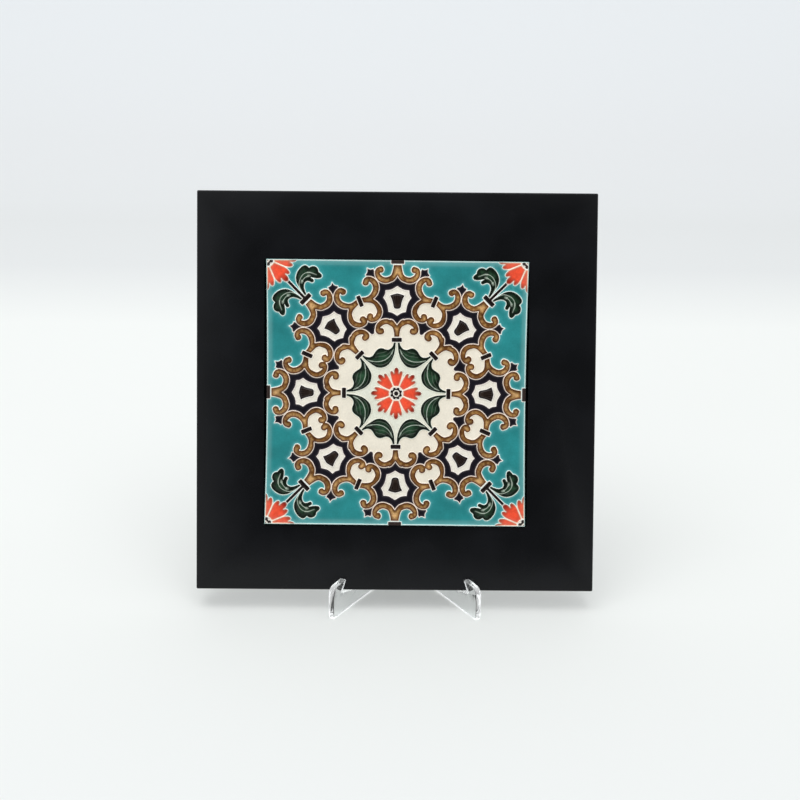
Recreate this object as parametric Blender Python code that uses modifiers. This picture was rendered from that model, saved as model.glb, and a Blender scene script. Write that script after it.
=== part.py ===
"""Framed relief tile on a clear V easel.

A black board with a square pocket leans on a one-piece easel, and a glazed tile with a moulded ring
of scrolls sits in the pocket. Drawing sizes are in millimetres, and MM turns them to metres.

The row frame: +X to the viewer's right, +Y away from the viewer, +Z up, with the origin on the ground
under the middle of the whole object.
"""

import math

import bmesh
import bpy
from mathutils import Matrix, Vector

MM = 0.001
GAP = 0.3

# Board, mm. It leans back on the easel by LEAN.
BOARD_SIDE = 228.6
BOARD_THICKNESS = 12.7
BOARD_EDGE_ROUND = 0.8
LEAN = math.radians(18.0)

# Tile, mm. Its face stands a little proud of the board. The pattern is drawn for a square of PATTERN_SIDE.
TILE_WIDTH = 150.8
TILE_HEIGHT = 152.2
PATTERN_SIDE = 152.0
TILE_THICKNESS = 8.0
TILE_PROUD = 1.2
TILE_EDGE_ROUND = 0.5
TILE_DROP = 0.6
RIM_INSET = 0.7
RIM_WIDTH = 0.8
RIM_HEIGHT = 0.35
RELIEF_ROOT = 1.0

# Easel, mm. V_HALF is the angle between a wing and the Y axis. The board stands off the easel's middle.
EASEL_OFFSET = 5.9
V_HALF = math.radians(33.0)
WING_THICKNESS = 3.5
WING_SPAN = 87.2
WING_HEIGHT = 105.0
BOARD_LIFT = 13.4
LIP_DEPTH = 10.3
LIP_RISE = 5.5
LIP_UNDERCUT = 1.8
LIP_SLOPE = 0.8
LIP_CORNER = 0.5
FRONT_CORNER = 3.2
SLOT_CORNER = 0.8
TOP_CORNER = 5.0
PAD_LENGTH = 4.0
ARCH_RISE = 0.8
WING_EDGE_ROUND = 0.35

# The ring of the tile's pattern: eight scrolled cartouches, one every 45 degrees.
CARTOUCHES = 8
SCROLL_RADIUS = 6.3
SCROLL_EYE_RADIUS = 4.5
SCROLL_CURL_RADIUS = 3.1
SCROLL_BALL_RADIUS = 2.1

# How far each raised part of the pattern stands above the field, mm.
SCROLL_RISE = 0.8
STEM_RISE = 0.75
CLIP_RISE = 1.0
SHIELD_RISE = 0.45
BELL_RISE = 0.9
LEAF_RISE = 0.7
PETAL_RISE = 0.6
BUTTON_RISE = 0.95


def remove_everything() -> None:
    """Empty the scene."""
    for obj in list(bpy.data.objects):
        bpy.data.objects.remove(obj, do_unlink=True)
    for collection in list(bpy.data.collections):
        bpy.data.collections.remove(collection)


def new_collection(name: str) -> bpy.types.Collection:
    """Return a new collection in the scene."""
    collection = bpy.data.collections.new(name)
    bpy.context.scene.collection.children.link(collection)
    return collection


def principled(name: str, colour: tuple, roughness: float, transmission: float = 0.0) -> bpy.types.Material:
    """Return a Principled material with a linear colour."""
    material = bpy.data.materials.new(name)
    material.use_nodes = True
    shader = material.node_tree.nodes["Principled BSDF"]
    shader.inputs["Base Color"].default_value = (*colour, 1.0)
    shader.inputs["Roughness"].default_value = roughness
    shader.inputs["Metallic"].default_value = 0.0
    shader.inputs["Transmission Weight"].default_value = transmission
    return material


def arc(centre: tuple, radius: float, start: float, end: float, steps: int) -> list:
    """Points on an arc, with angles in degrees counter-clockwise from +X."""
    points = []
    for i in range(steps + 1):
        angle = math.radians(start + (end - start) * i / steps)
        points.append((centre[0] + radius * math.cos(angle), centre[1] + radius * math.sin(angle)))
    return points


def moved(points: list, matrix: Matrix) -> list:
    """The points of a flat outline after a transform."""
    placed = [matrix @ Vector((x, y, 0.0)) for x, y in points]
    return [(p.x, p.y) for p in placed]


def turned(points: list, degrees: float) -> list:
    """The points turned clockwise about the tile's centre, as a compass bearing grows."""
    return moved(points, Matrix.Rotation(-math.radians(degrees), 4, "Z"))


def mirrored(points: list) -> list:
    """The points mirrored left to right."""
    return [(-x, y) for x, y in reversed(points)]


def slab(name: str, outlines: list, low: float, high: float, collection) -> bpy.types.Object:
    """A flat plate between two heights, from closed outlines in mm. A second outline inside is a hole."""
    curve = bpy.data.curves.new(name, "CURVE")
    curve.dimensions = "2D"
    curve.fill_mode = "BOTH"
    curve.extrude = (high - low) / 2 * MM
    for outline in outlines:
        spline = curve.splines.new("POLY")
        spline.points.add(len(outline) - 1)
        for point, (x, y) in zip(spline.points, outline):
            point.co = (x * MM, y * MM, 0.0, 1.0)
        spline.use_cyclic_u = True
    drawn = bpy.data.objects.new(name + "_outline", curve)
    bpy.context.scene.collection.objects.link(drawn)
    bpy.context.view_layer.update()
    mesh = bpy.data.meshes.new_from_object(drawn.evaluated_get(bpy.context.evaluated_depsgraph_get()))
    bpy.data.objects.remove(drawn, do_unlink=True)
    edit = bmesh.new()
    edit.from_mesh(mesh)
    bmesh.ops.remove_doubles(edit, verts=edit.verts, dist=1e-6)
    bmesh.ops.translate(edit, verts=edit.verts, vec=(0.0, 0.0, (low + high) / 2 * MM))
    bmesh.ops.recalc_face_normals(edit, faces=edit.faces)
    edit.to_mesh(mesh)
    edit.free()
    mesh.name = name
    plate = bpy.data.objects.new(name, mesh)
    collection.objects.link(plate)
    return plate


def box(name: str, size: tuple, centre: tuple, collection) -> bpy.types.Object:
    """A box of a size about a centre, in mm."""
    mesh = bpy.data.meshes.new(name)
    edit = bmesh.new()
    bmesh.ops.create_cube(edit, size=1.0)
    bmesh.ops.scale(edit, verts=edit.verts, vec=Vector(size) * MM)
    bmesh.ops.translate(edit, verts=edit.verts, vec=Vector(centre) * MM)
    edit.to_mesh(mesh)
    edit.free()
    obj = bpy.data.objects.new(name, mesh)
    collection.objects.link(obj)
    return obj


def as_cutter(obj: bpy.types.Object) -> None:
    """Mark an object as a tool that isn't part of the model."""
    obj.hide_render = True
    obj.display_type = "WIRE"


def bevel(obj: bpy.types.Object, width: float, segments: int) -> None:
    """Round an object's edges."""
    modifier = obj.modifiers.new("edges", "BEVEL")
    modifier.width = width * MM
    modifier.segments = segments
    modifier.limit_method = "ANGLE"
    modifier.angle_limit = math.radians(30.0)


# --- the tile's pattern -------------------------------------------------------------------------


def scroll(ball: tuple, eye: tuple) -> list:
    """A C-scroll about its own centre.

    It starts at the left, where it leaves its stem, goes over the top, curls in at the right and ends
    in a ball. ball and eye are the centres of the ball and of the hollow inside the scroll.
    """
    curl_x = SCROLL_RADIUS - SCROLL_CURL_RADIUS
    cusp = math.degrees(math.atan2(ball[1] + 1.5 - eye[1], ball[0] - 0.1 - eye[0]))
    outline = arc((0.0, 0.0), SCROLL_RADIUS, 180.0, 0.0, 6)
    outline += arc((curl_x, 0.0), SCROLL_CURL_RADIUS, -35.0, -75.0, 1)
    outline += arc(ball, SCROLL_BALL_RADIUS, -105.0, -255.0, 3)
    outline += arc(eye, SCROLL_EYE_RADIUS, cusp, 180.0, 3)
    return outline


TIGHT_SCROLL = scroll((2.8, -0.8), (-0.25, -1.5))
OPEN_SCROLL = scroll((2.9, -1.65), (0.2, -2.0))


def placed_scroll(shape: list, centre: tuple, start: float, clockwise: bool) -> list:
    """A scroll at a centre, leaving its stem at an angle and turning clockwise or the other way."""
    if clockwise:
        local = Matrix.Rotation(math.radians(start - 180.0), 4, "Z")
    else:
        local = Matrix.Rotation(math.radians(start - 180.0), 4, "Z") @ Matrix.Diagonal((1.0, -1.0, 1.0, 1.0))
    return moved(shape, Matrix.Translation((*centre, 0.0)) @ local)


def rounded_bar(centre: tuple, half_length: float, half_width: float, bearing: float) -> list:
    """A short bar with cut corners, lying along +X before it turns to its bearing."""
    cut = min(half_length, half_width) * 0.55
    quarter = [(half_length, half_width - cut), (half_length - cut, half_width)]
    quarter += [(-x, y) for x, y in reversed(quarter)]
    quarter += [(-x, -y) for x, y in quarter]
    place = Matrix.Translation((*centre, 0.0)) @ Matrix.Rotation(-math.radians(bearing), 4, "Z")
    return moved(quarter, place)


def side_clip() -> list:
    """The clip between two cartouches, long along the radius, on the bearing halfway between them."""
    half_step = 180.0 / CARTOUCHES
    upright = rounded_bar((0.0, 56.7), 1.15, 3.2, 0.0)
    return turned(upright, half_step)


def cartouche_scrolls() -> list:
    """The four scrolls on the right of the top cartouche."""
    return [
        placed_scroll(TIGHT_SCROLL, (6.5, 36.3), 180.0, True),
        placed_scroll(TIGHT_SCROLL, (14.8, 46.6), 90.0, False),
        placed_scroll(OPEN_SCROLL, (16.5, 60.4), 270.0, True),
        placed_scroll(OPEN_SCROLL, (7.0, 68.9), 180.0, False),
    ]


def cartouche_stems() -> list:
    """The stems that join the scrolls to their clips: inner, outer, and the one on the right."""
    inner = [(-1.4, 31.4), (1.4, 31.4), (2.2, 36.0), (0.0, 39.0), (-2.2, 36.0)]
    outer = [(2.1, 74.8), (-2.1, 74.8), (-2.6, 69.5), (0.0, 67.0), (2.6, 69.5)]
    side = [(13.6, 53.6), (16.6, 50.9), (21.0, 50.8), (21.9, 54.1), (18.0, 55.9)]
    return [inner, outer, side]


def shield() -> list:
    """The pointed white plate in the middle of a cartouche, with hollow sides."""
    points = [(0.0, 61.4), (7.0, 59.1), (8.4, 54.5), (4.9, 46.3), (0.0, 44.3)]
    right = []
    for first, second in zip(points, points[1:]):
        middle = ((first[0] + second[0]) / 2, (first[1] + second[1]) / 2)
        towards_centre = Vector((-middle[0], 53.0 - middle[1])).normalized() * 0.7
        right += [first, (middle[0] + towards_centre.x, middle[1] + towards_centre.y)]
    right.append(points[-1])
    return right + [(-x, y) for x, y in reversed(right[1:-1])]


def bell() -> list:
    """The dark bell on the shield, narrow end towards the tile's centre."""
    right = [(0.0, 57.3), (2.4, 56.9), (4.3, 55.5), (2.7, 52.6), (1.9, 49.8), (0.0, 48.5)]
    return right + [(-x, y) for x, y in reversed(right[1:-1])]


def ring_leaf() -> list:
    """A leaf of the inner ring, in the middle of which is the bearing it turns to.

    Its inner side is one sweep, and its outer side has a crown between two hollows. Both are given
    as bearings in degrees from the leaf's middle, and radii.
    """
    inner = [(a, 17.0 + 7.0 * (a / 20.5) ** 2.4) for a in (0.0, 6.0, 12.0, 16.5, 20.0)]
    outer = [(20.9, 28.8), (16.1, 26.3), (11.1, 25.4), (7.0, 26.3), (3.4, 27.3), (0.0, 27.5)]
    half = [
        (r * math.sin(math.radians(a)), r * math.cos(math.radians(a))) for a, r in inner + outer
    ]
    return half + [(-x, y) for x, y in reversed(half[1:-1])]


def petal(length: float) -> list:
    """A petal of the middle flower, pointing up, with a lobe on each side of its tip."""
    right = [(0.0, length), (1.1, length - 2.4), (2.9, length - 2.5), (2.3, 8.4), (0.9, 4.0), (0.0, 3.8)]
    return right + [(-x, y) for x, y in reversed(right[1:-1])]


def corner_flower() -> list:
    """The quarter flower in the top right corner, out to the tile's rim, mm from the tile's centre.

    One whole petal lies on the diagonal, with half a petal on each side along the rim. The tips and
    notches are given as degrees from the upper rim, and radii about the corner.
    """
    inset = RIM_INSET + RIM_WIDTH / 2
    corner = Vector((PATTERN_SIDE / 2 - inset, PATTERN_SIDE / 2 - inset))
    tips_and_notches = [(0.0, 15.6), (15.0, 13.0), (20.0, 11.0), (28.5, 12.9), (36.0, 11.8), (45.0, 15.8)]
    tips_and_notches += [(90.0 - angle, radius) for angle, radius in reversed(tips_and_notches[:-1])]
    points = [tuple(corner)]
    for angle, radius in tips_and_notches:
        angle = math.radians(180.0 + angle)
        points.append((corner.x + radius * math.cos(angle), corner.y + radius * math.sin(angle)))
    return points


def corner_leaf() -> list:
    """The acanthus leaf to the left of the corner stem, with two hollows between its lobes."""
    return [
        (54.5, 57.0), (58.4, 62.0), (59.3, 66.0), (58.0, 70.0), (55.5, 72.3), (53.0, 72.9),
        (51.6, 71.8), (48.5, 72.2), (46.3, 70.8), (45.8, 69.0), (43.8, 67.5), (44.0, 65.4),
        (47.8, 64.6), (49.5, 62.4), (51.0, 63.6), (53.0, 63.9), (54.5, 62.5), (54.7, 60.5), (53.2, 57.4),
    ]


def corner_stem() -> list:
    """The stem on the diagonal, between the corner flower and the ring's clip."""
    width = 0.9
    start, end = 54.4, 65.0
    return [(start + width, start - width), (end + width, end - width),
            (end - width, end + width), (start - width, start + width)]


def across_diagonal(points: list) -> list:
    """The points mirrored in the diagonal of the top right corner."""
    return [(y, x) for x, y in reversed(points)]


def build_relief(collection) -> None:
    """All raised parts of the pattern, rooted below the tile's field, each a plate of its own height."""

    stretch = Matrix.Diagonal((TILE_WIDTH / PATTERN_SIDE, TILE_HEIGHT / PATTERN_SIDE, 1.0, 1.0))

    def raised(name: str, outline: list, rise: float) -> None:
        as_cutter(slab(name, [moved(outline, stretch)], -RELIEF_ROOT, rise, collection))

    step = 360.0 / CARTOUCHES
    for k in range(CARTOUCHES):
        bearing = k * step
        for right in cartouche_scrolls():
            raised("scroll", turned(right, bearing), SCROLL_RISE)
            raised("scroll", turned(mirrored(right), bearing), SCROLL_RISE)
        inner, outer, side = cartouche_stems()
        for stem in (inner, outer, side, mirrored(side)):
            raised("stem", turned(stem, bearing), STEM_RISE)
        raised("clip", turned(rounded_bar((0.0, 30.7), 3.0, 1.15, 0.0), bearing), CLIP_RISE)
        raised("clip", turned(side_clip(), bearing), CLIP_RISE)
        raised("shield", turned(shield(), bearing), SHIELD_RISE)
        raised("bell", turned(bell(), bearing), BELL_RISE)
        raised("leaf", turned(ring_leaf(), bearing + step / 2), LEAF_RISE)
        raised("petal", turned(petal(14.3), bearing), PETAL_RISE)
    raised("button", arc((0.0, 0.0), 3.3, 0.0, 330.0, 11), BUTTON_RISE)
    on_edge = rounded_bar((0.0, 73.9), 3.8, 1.0, 0.0)
    in_corner = rounded_bar((0.0, 75.2), 3.8, 1.15, 0.0)
    for k in range(4):
        raised("clip", turned(on_edge, k * 90.0), CLIP_RISE)
        raised("clip", turned(in_corner, k * 90.0 + 45.0), CLIP_RISE)
    corner = [("corner_flower", corner_flower(), PETAL_RISE), ("corner_stem", corner_stem(), STEM_RISE)]
    for leaf in (corner_leaf(), across_diagonal(corner_leaf())):
        corner.append(("corner_leaf", leaf, LEAF_RISE))
    for name, outline, rise in corner:
        upper_left, lower_right = mirrored(outline), [(x, -y) for x, y in reversed(outline)]
        lower_left = mirrored(lower_right)
        for copy in (outline, upper_left, lower_right, lower_left):
            raised(name, copy, rise)


def rectangle(width: float, height: float) -> list:
    """The corners of a rectangle about the tile's centre."""
    x, y = width / 2, height / 2
    return [(-x, -y), (x, -y), (x, y), (-x, y)]


def build_tile(collection, relief, face: bpy.types.Object) -> None:
    """The moulded tile: a slab with softened edges, a raised rim and the raised pattern."""
    tile = box(
        "tile",
        (TILE_WIDTH, TILE_HEIGHT, TILE_THICKNESS),
        (0.0, 0.0, -TILE_THICKNESS / 2),
        collection,
    )
    bevel(tile, TILE_EDGE_ROUND, 2)
    outside, inside = 2 * RIM_INSET, 2 * (RIM_INSET + RIM_WIDTH)
    rim_outside = rectangle(TILE_WIDTH - outside, TILE_HEIGHT - outside)
    rim_inside = rectangle(TILE_WIDTH - inside, TILE_HEIGHT - inside)
    as_cutter(slab("rim", [rim_outside, rim_inside], -RELIEF_ROOT, RIM_HEIGHT, relief))
    build_relief(relief)
    union = tile.modifiers.new("relief", "BOOLEAN")
    union.operation = "UNION"
    union.operand_type = "COLLECTION"
    union.collection = relief
    union.solver = "EXACT"
    tile.parent = face
    tile.location = (0.0, (BOARD_SIDE / 2 - TILE_DROP) * MM, TILE_PROUD * MM)
    for obj in relief.objects:
        obj.parent = face
        obj.location = tile.location
    tile.data.materials.append(principled("glaze", (0.02, 0.26, 0.28), 0.12))


# --- board and easel ------------------------------------------------------------------------------


def build_board(collection, cutters, face: bpy.types.Object) -> None:
    """The painted board, with the pocket that the tile is set in."""
    board = box(
        "board",
        (BOARD_SIDE, BOARD_SIDE, BOARD_THICKNESS),
        (0.0, BOARD_SIDE / 2, -BOARD_THICKNESS / 2),
        collection,
    )
    bevel(board, BOARD_EDGE_ROUND, 3)
    pocket_depth = TILE_THICKNESS - TILE_PROUD + GAP
    pocket = box(
        "pocket",
        (TILE_WIDTH + 2 * GAP, TILE_HEIGHT + 2 * GAP, 2 * pocket_depth),
        (0.0, BOARD_SIDE / 2 - TILE_DROP, 0.0),
        cutters,
    )
    as_cutter(pocket)
    cut = board.modifiers.new("pocket", "BOOLEAN")
    cut.operation = "DIFFERENCE"
    cut.object = pocket
    cut.solver = "EXACT"
    board.parent = face
    pocket.parent = face
    board.data.materials.append(principled("black_paint", (0.012, 0.013, 0.014), 0.45))
    return board


class Slot:
    """Where the leaning board crosses a wing, in the wing's own plane.

    s runs along the wing from its front end, and z is height. The board touches the wing's outer
    corners at the lip and ledge, and its inner corners at the back.
    """

    def __init__(self) -> None:
        self.tangent = math.tan(LEAN)
        self.gap = GAP / math.cos(LEAN)
        self.front_y = LIP_DEPTH * math.cos(V_HALF) + self.gap

    def lip(self, z: float) -> float:
        """The lip's back edge at a height."""
        depth = self.front_y + (z - BOARD_LIFT) * self.tangent
        return (depth - self.gap) / math.cos(V_HALF)

    def ledge(self, s: float) -> float:
        """The height of the ledge under the board."""
        depth = s * math.cos(V_HALF)
        return BOARD_LIFT - (depth - self.front_y) * self.tangent - self.gap

    def support(self, z: float) -> float:
        """The edge behind the board at a height."""
        depth = self.front_y + (z - BOARD_LIFT) * self.tangent + BOARD_THICKNESS / math.cos(LEAN)
        return (depth + self.gap + WING_THICKNESS * math.sin(V_HALF)) / math.cos(V_HALF)

    def corner(self) -> tuple:
        """Where the ledge meets the edge behind the board."""
        z = BOARD_LIFT
        for _ in range(20):
            z = self.ledge(self.support(z))
        return self.support(z), z


def filleted(before: tuple, corner: tuple, after: tuple, radius: float, steps: int) -> list:
    """Points that round a corner of an outline."""
    to_before = (Vector(before) - Vector(corner)).normalized()
    to_after = (Vector(after) - Vector(corner)).normalized()
    half_angle = to_before.angle(to_after) / 2
    reach = radius / math.tan(half_angle)
    centre = Vector(corner) + (to_before + to_after).normalized() * radius / math.sin(half_angle)
    first = Vector(corner) + to_before * reach - centre
    turn = (Vector(corner) + to_after * reach - centre).angle_signed(first)
    points = []
    for i in range(steps + 1):
        angle = turn * i / steps
        spoke = Matrix.Rotation(angle, 2) @ first
        points.append(tuple(centre + spoke))
    return points


def wing_outline(slot: Slot, spine: float) -> list:
    """A wing's outline, from its front foot round over the lip, ledge and top to its back foot."""
    tip = (slot.lip(BOARD_LIFT + LIP_RISE), BOARD_LIFT + LIP_RISE)
    front_top = (0.0, BOARD_LIFT + LIP_RISE - LIP_SLOPE)
    lip_root = (slot.lip(BOARD_LIFT) - LIP_UNDERCUT, slot.ledge(LIP_DEPTH))
    back_root = slot.corner()
    top_front = (slot.support(WING_HEIGHT), WING_HEIGHT)
    past_spine = spine + WING_THICKNESS
    foot = (0.0, 0.0)
    outline = [foot]
    outline += filleted(foot, front_top, tip, FRONT_CORNER, 4)
    outline += filleted(front_top, tip, lip_root, LIP_CORNER, 2)
    outline += filleted(tip, lip_root, back_root, SLOT_CORNER, 2)
    outline += filleted(lip_root, back_root, top_front, SLOT_CORNER, 2)
    outline += filleted(back_root, top_front, (past_spine, WING_HEIGHT), TOP_CORNER, 4)
    outline += [(past_spine, WING_HEIGHT), (past_spine, 0.0)]
    outline += [(spine - 2 * PAD_LENGTH, 0.0), (spine / 2 + PAD_LENGTH / 2, ARCH_RISE)]
    outline += [(spine / 2 - PAD_LENGTH / 2, ARCH_RISE), (PAD_LENGTH, 0.0)]
    return outline


def build_easel(collection, front_y: float) -> None:
    """The clear easel: one wing cut at the mid plane and mirrored, so both are one piece."""
    slot = Slot()
    spine = WING_SPAN / 2 / math.sin(V_HALF)
    easel = slab(
        "easel",
        [wing_outline(slot, spine)],
        -WING_THICKNESS / 2,
        WING_THICKNESS / 2,
        collection,
    )
    along = Vector((-math.sin(V_HALF), math.cos(V_HALF), 0.0))
    outward = Vector((math.cos(V_HALF), math.sin(V_HALF), 0.0))
    corner = Vector((WING_SPAN / 2, front_y, 0.0))
    origin = (corner - outward * WING_THICKNESS / 2) * MM
    place = Matrix((along, Vector((0.0, 0.0, 1.0)), outward)).transposed().to_4x4()
    place.translation = origin
    easel.data.transform(place)
    easel.data.update()
    easel.location.x = EASEL_OFFSET * MM
    mirror = easel.modifiers.new("other wing", "MIRROR")
    mirror.use_axis = (True, False, False)
    mirror.use_bisect_axis = (True, False, False)
    mirror.use_clip = True
    mirror.merge_threshold = 0.00001
    bevel(easel, WING_EDGE_ROUND, 1)
    easel.data.materials.append(principled("clear_acrylic", (1.0, 1.0, 1.0), 0.03, 1.0))
    return easel


def main() -> None:
    """Build the object, with the origin on the ground under its middle."""
    remove_everything()
    part = new_collection("framed_tile")
    cutters = new_collection("cutters")
    relief = new_collection("relief")

    slot = Slot()
    front = -(WING_THICKNESS - WING_EDGE_ROUND) * math.sin(V_HALF)
    rounded_off = BOARD_EDGE_ROUND * (math.sin(LEAN) + math.cos(LEAN) - 1.0)
    back = slot.front_y + BOARD_SIDE * math.sin(LEAN) + BOARD_THICKNESS * math.cos(LEAN) - rounded_off
    middle = (front + back) / 2

    face = bpy.data.objects.new("board_face", None)
    part.objects.link(face)
    face.location = Vector((0.0, slot.front_y - middle, BOARD_LIFT)) * MM
    face.rotation_euler = (math.radians(90.0) - LEAN, 0.0, 0.0)

    build_board(part, cutters, face)
    build_tile(part, relief, face)
    build_easel(part, -middle)


main()
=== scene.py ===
"""Looks of a framed relief tile: a glazed tile in a black board, on a clear V easel.

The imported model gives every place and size. The tile's face is drawn in millimetres from its middle,
x to the right and y up, as eighths of a square that mirror into each other, and the drawing is turned
into one closed relief. All else is in metres.
"""

import logging
import math
from collections.abc import Callable, Iterable
from dataclasses import dataclass, field
from enum import Enum, IntEnum

import bmesh
import bpy
import numpy as np
from mathutils import Matrix, Vector
from mathutils.geometry import delaunay_2d_cdt


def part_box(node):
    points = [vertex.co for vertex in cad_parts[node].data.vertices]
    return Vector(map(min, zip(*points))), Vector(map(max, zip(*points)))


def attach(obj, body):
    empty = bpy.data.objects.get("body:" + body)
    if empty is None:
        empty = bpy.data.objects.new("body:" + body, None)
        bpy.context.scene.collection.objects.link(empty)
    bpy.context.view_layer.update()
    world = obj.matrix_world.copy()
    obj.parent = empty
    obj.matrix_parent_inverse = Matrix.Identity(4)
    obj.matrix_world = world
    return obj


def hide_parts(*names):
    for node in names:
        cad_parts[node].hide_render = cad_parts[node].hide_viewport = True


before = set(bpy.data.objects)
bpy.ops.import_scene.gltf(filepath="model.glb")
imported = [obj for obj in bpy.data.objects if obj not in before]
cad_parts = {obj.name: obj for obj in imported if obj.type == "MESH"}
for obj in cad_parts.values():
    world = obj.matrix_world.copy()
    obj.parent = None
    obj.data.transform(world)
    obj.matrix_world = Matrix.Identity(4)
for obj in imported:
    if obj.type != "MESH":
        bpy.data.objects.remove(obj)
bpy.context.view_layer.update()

log = logging.getLogger("framed_tile")

Point = tuple[float, float]
Outline = list[Point]
# the starts and ends of segments, and half the ridge's width at each
Segments = tuple[np.ndarray, np.ndarray, np.ndarray]

MM = 0.001
FULL_TURN = 360.0


# --- small helpers for nodes, meshes and colours ----------------------------------------------------


def linear(colour: str) -> tuple[float, float, float, float]:
    """Turn an sRGB hex colour to the linear values that a socket takes.

    Args:
        colour: the colour, as "#rrggbb".

    Returns:
        Red, green, blue and an alpha of 1.
    """
    values = [int(colour[i : i + 2], 16) / 255.0 for i in (1, 3, 5)]
    return (*(v / 12.92 if v <= 0.04045 else ((v + 0.055) / 1.055) ** 2.4 for v in values), 1.0)


def add_node(
    tree: bpy.types.NodeTree, kind: str, inputs: dict | None = None, **settings: object
) -> bpy.types.Node:
    """Add a node, set its properties, and fill or link its inputs.

    Args:
        tree: the node tree.
        kind: the node's type, such as "ShaderNodeTexNoise".
        inputs: values or output sockets, by input name or index.
        **settings: the node's own properties.

    Returns:
        The new node.
    """
    node = tree.nodes.new(kind)
    for name, value in settings.items():
        setattr(node, name, value)
    for key, value in (inputs or {}).items():
        socket = node.inputs[key]
        if isinstance(value, bpy.types.NodeSocket):
            tree.links.new(value, socket)
        else:
            socket.default_value = value
    return node


def new_material(name: str) -> tuple[bpy.types.Material, bpy.types.NodeTree, bpy.types.Node]:
    """Make an empty material with one Principled shader.

    Args:
        name: the material's name.

    Returns:
        The material, its tree and the shader node.
    """
    material = bpy.data.materials.new(name)
    material.use_nodes = True
    tree = material.node_tree
    return material, tree, tree.nodes["Principled BSDF"]


def set_stops(ramp: bpy.types.Node, stops: Iterable[tuple[float, str]]) -> None:
    """Give a colour ramp its stops.

    Args:
        ramp: the ramp's node.
        stops: positions and hex colours, in order.
    """
    elements = ramp.color_ramp.elements
    for i, (place, colour) in enumerate(stops):
        element = elements[i] if i < len(elements) else elements.new(place)
        element.position = place
        element.color = linear(colour)


def deselect() -> None:
    """Leave edit mode and deselect everything."""
    if bpy.context.object and bpy.context.object.mode != "OBJECT":
        bpy.ops.object.mode_set(mode="OBJECT")
    bpy.ops.object.select_all(action="DESELECT")


def make_active(obj: bpy.types.Object) -> None:
    """Make an object the only one selected, and active.

    Args:
        obj: the object.
    """
    deselect()
    obj.select_set(True)
    bpy.context.view_layer.objects.active = obj


def apply_modifiers(obj: bpy.types.Object) -> None:
    """Apply an object's modifiers in order.

    Args:
        obj: the object.
    """
    make_active(obj)
    for modifier in list(obj.modifiers):
        bpy.ops.object.modifier_apply(modifier=modifier.name)


def select_faces(obj: bpy.types.Object, test: Callable[[bmesh.types.BMFace], bool]) -> None:
    """Select the faces that pass a test, in edit mode.

    Args:
        obj: the object in edit mode.
        test: says whether a face is wanted.
    """
    mesh = bmesh.from_edit_mesh(obj.data)
    bpy.ops.mesh.select_all(action="DESELECT")
    for face in mesh.faces:
        if test(face):
            face.select_set(True)
    bmesh.update_edit_mesh(obj.data)


def select_edges(obj: bpy.types.Object, test: Callable[[Vector], bool]) -> None:
    """Select the edges whose two ends pass a test, in edit mode.

    Args:
        obj: the object in edit mode.
        test: says whether an end's place is wanted.
    """
    mesh = bmesh.from_edit_mesh(obj.data)
    bpy.ops.mesh.select_all(action="DESELECT")
    for edge in mesh.edges:
        if all(test(vertex.co) for vertex in edge.verts):
            edge.select_set(True)
    bmesh.update_edit_mesh(obj.data)


def settle(obj: bpy.types.Object, place: Matrix) -> None:
    """Put an object's place into its mesh, so that it stands at the origin.

    Args:
        obj: the object.
        place: where its own frame lies in the row's frame.
    """
    obj.data.transform(place @ obj.matrix_basis)
    obj.matrix_basis = Matrix.Identity(4)
    obj.data.update()


def dress(obj: bpy.types.Object, node: str) -> None:
    """Declare a finished piece.

    Args:
        obj: the piece, which rides on the one body.
        node: the CAD node that it stands for.
    """
    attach(obj, "root")
    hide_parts(node)
    log.info("%s: %d faces, for node %s", obj.name, len(obj.data.polygons), node)


# --- drawing in the plane ------------------------------------------------------------------------------


class Glaze(Enum):
    """The glazes of the tile, each a material slot of its mesh."""

    TEAL = 0
    CREAM = 1
    CELADON = 2
    NAVY = 3
    HONEY = 4
    BLACK = 5
    SHIELD = 6
    GREEN = 7
    CORAL = 8
    RIM = 9


class Layer(IntEnum):
    """What the shapes are, from the lowest layer to the uppermost."""

    GROUND = 0
    DISC = 1
    STAR = 2
    BODY = 3
    HOLLOW = 4
    DARK = 5
    SCROLL = 6
    STEM = 7
    FIGURE = 8
    INNER_FIGURE = 9
    PETAL = 10
    BUTTON = 11
    DOTS = 12
    EYE = 13
    PUPIL = 14
    CLIP = 15
    RIM = 16
    RIM_CLIP = 17


# half the width of a common ridge, mm
RIDGE = 0.28
# the distance between an outline's points, mm
STEP = 0.45


@dataclass
class Shape:
    """A glazed cell's outline.

    Attributes:
        glaze: what fills it.
        outline: its closed outline.
        layer: shapes of a higher layer lie over lower ones.
        ridge: half the width of the ridge round it.
    """

    glaze: Glaze
    outline: Outline
    layer: Layer
    ridge: float = RIDGE


@dataclass
class Vein:
    """A raised line inside a cell, with half its width at each point."""

    line: Outline
    widths: list[float]


def arc(centre: Point, radius: float, start: float, end: float) -> Outline:
    """Points on an arc.

    Args:
        centre: its centre.
        radius: its radius.
        start: the angle of its first point, degrees counter-clockwise from +x.
        end: the angle of its last point.

    Returns:
        Points about STEP apart.
    """
    steps = max(2, math.ceil(abs(math.radians(end - start)) * radius / STEP))
    angles = [math.radians(start + (end - start) * i / steps) for i in range(steps + 1)]
    return [(centre[0] + radius * math.cos(a), centre[1] + radius * math.sin(a)) for a in angles]


def circle(centre: Point, radius: float) -> Outline:
    """A closed circle."""
    return arc(centre, radius, 0.0, FULL_TURN)[:-1]


def between(first: Point, second: Point, share: float) -> Point:
    """The point a share of the way from one point to another."""
    return (first[0] + (second[0] - first[0]) * share, first[1] + (second[1] - first[1]) * share)


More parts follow.
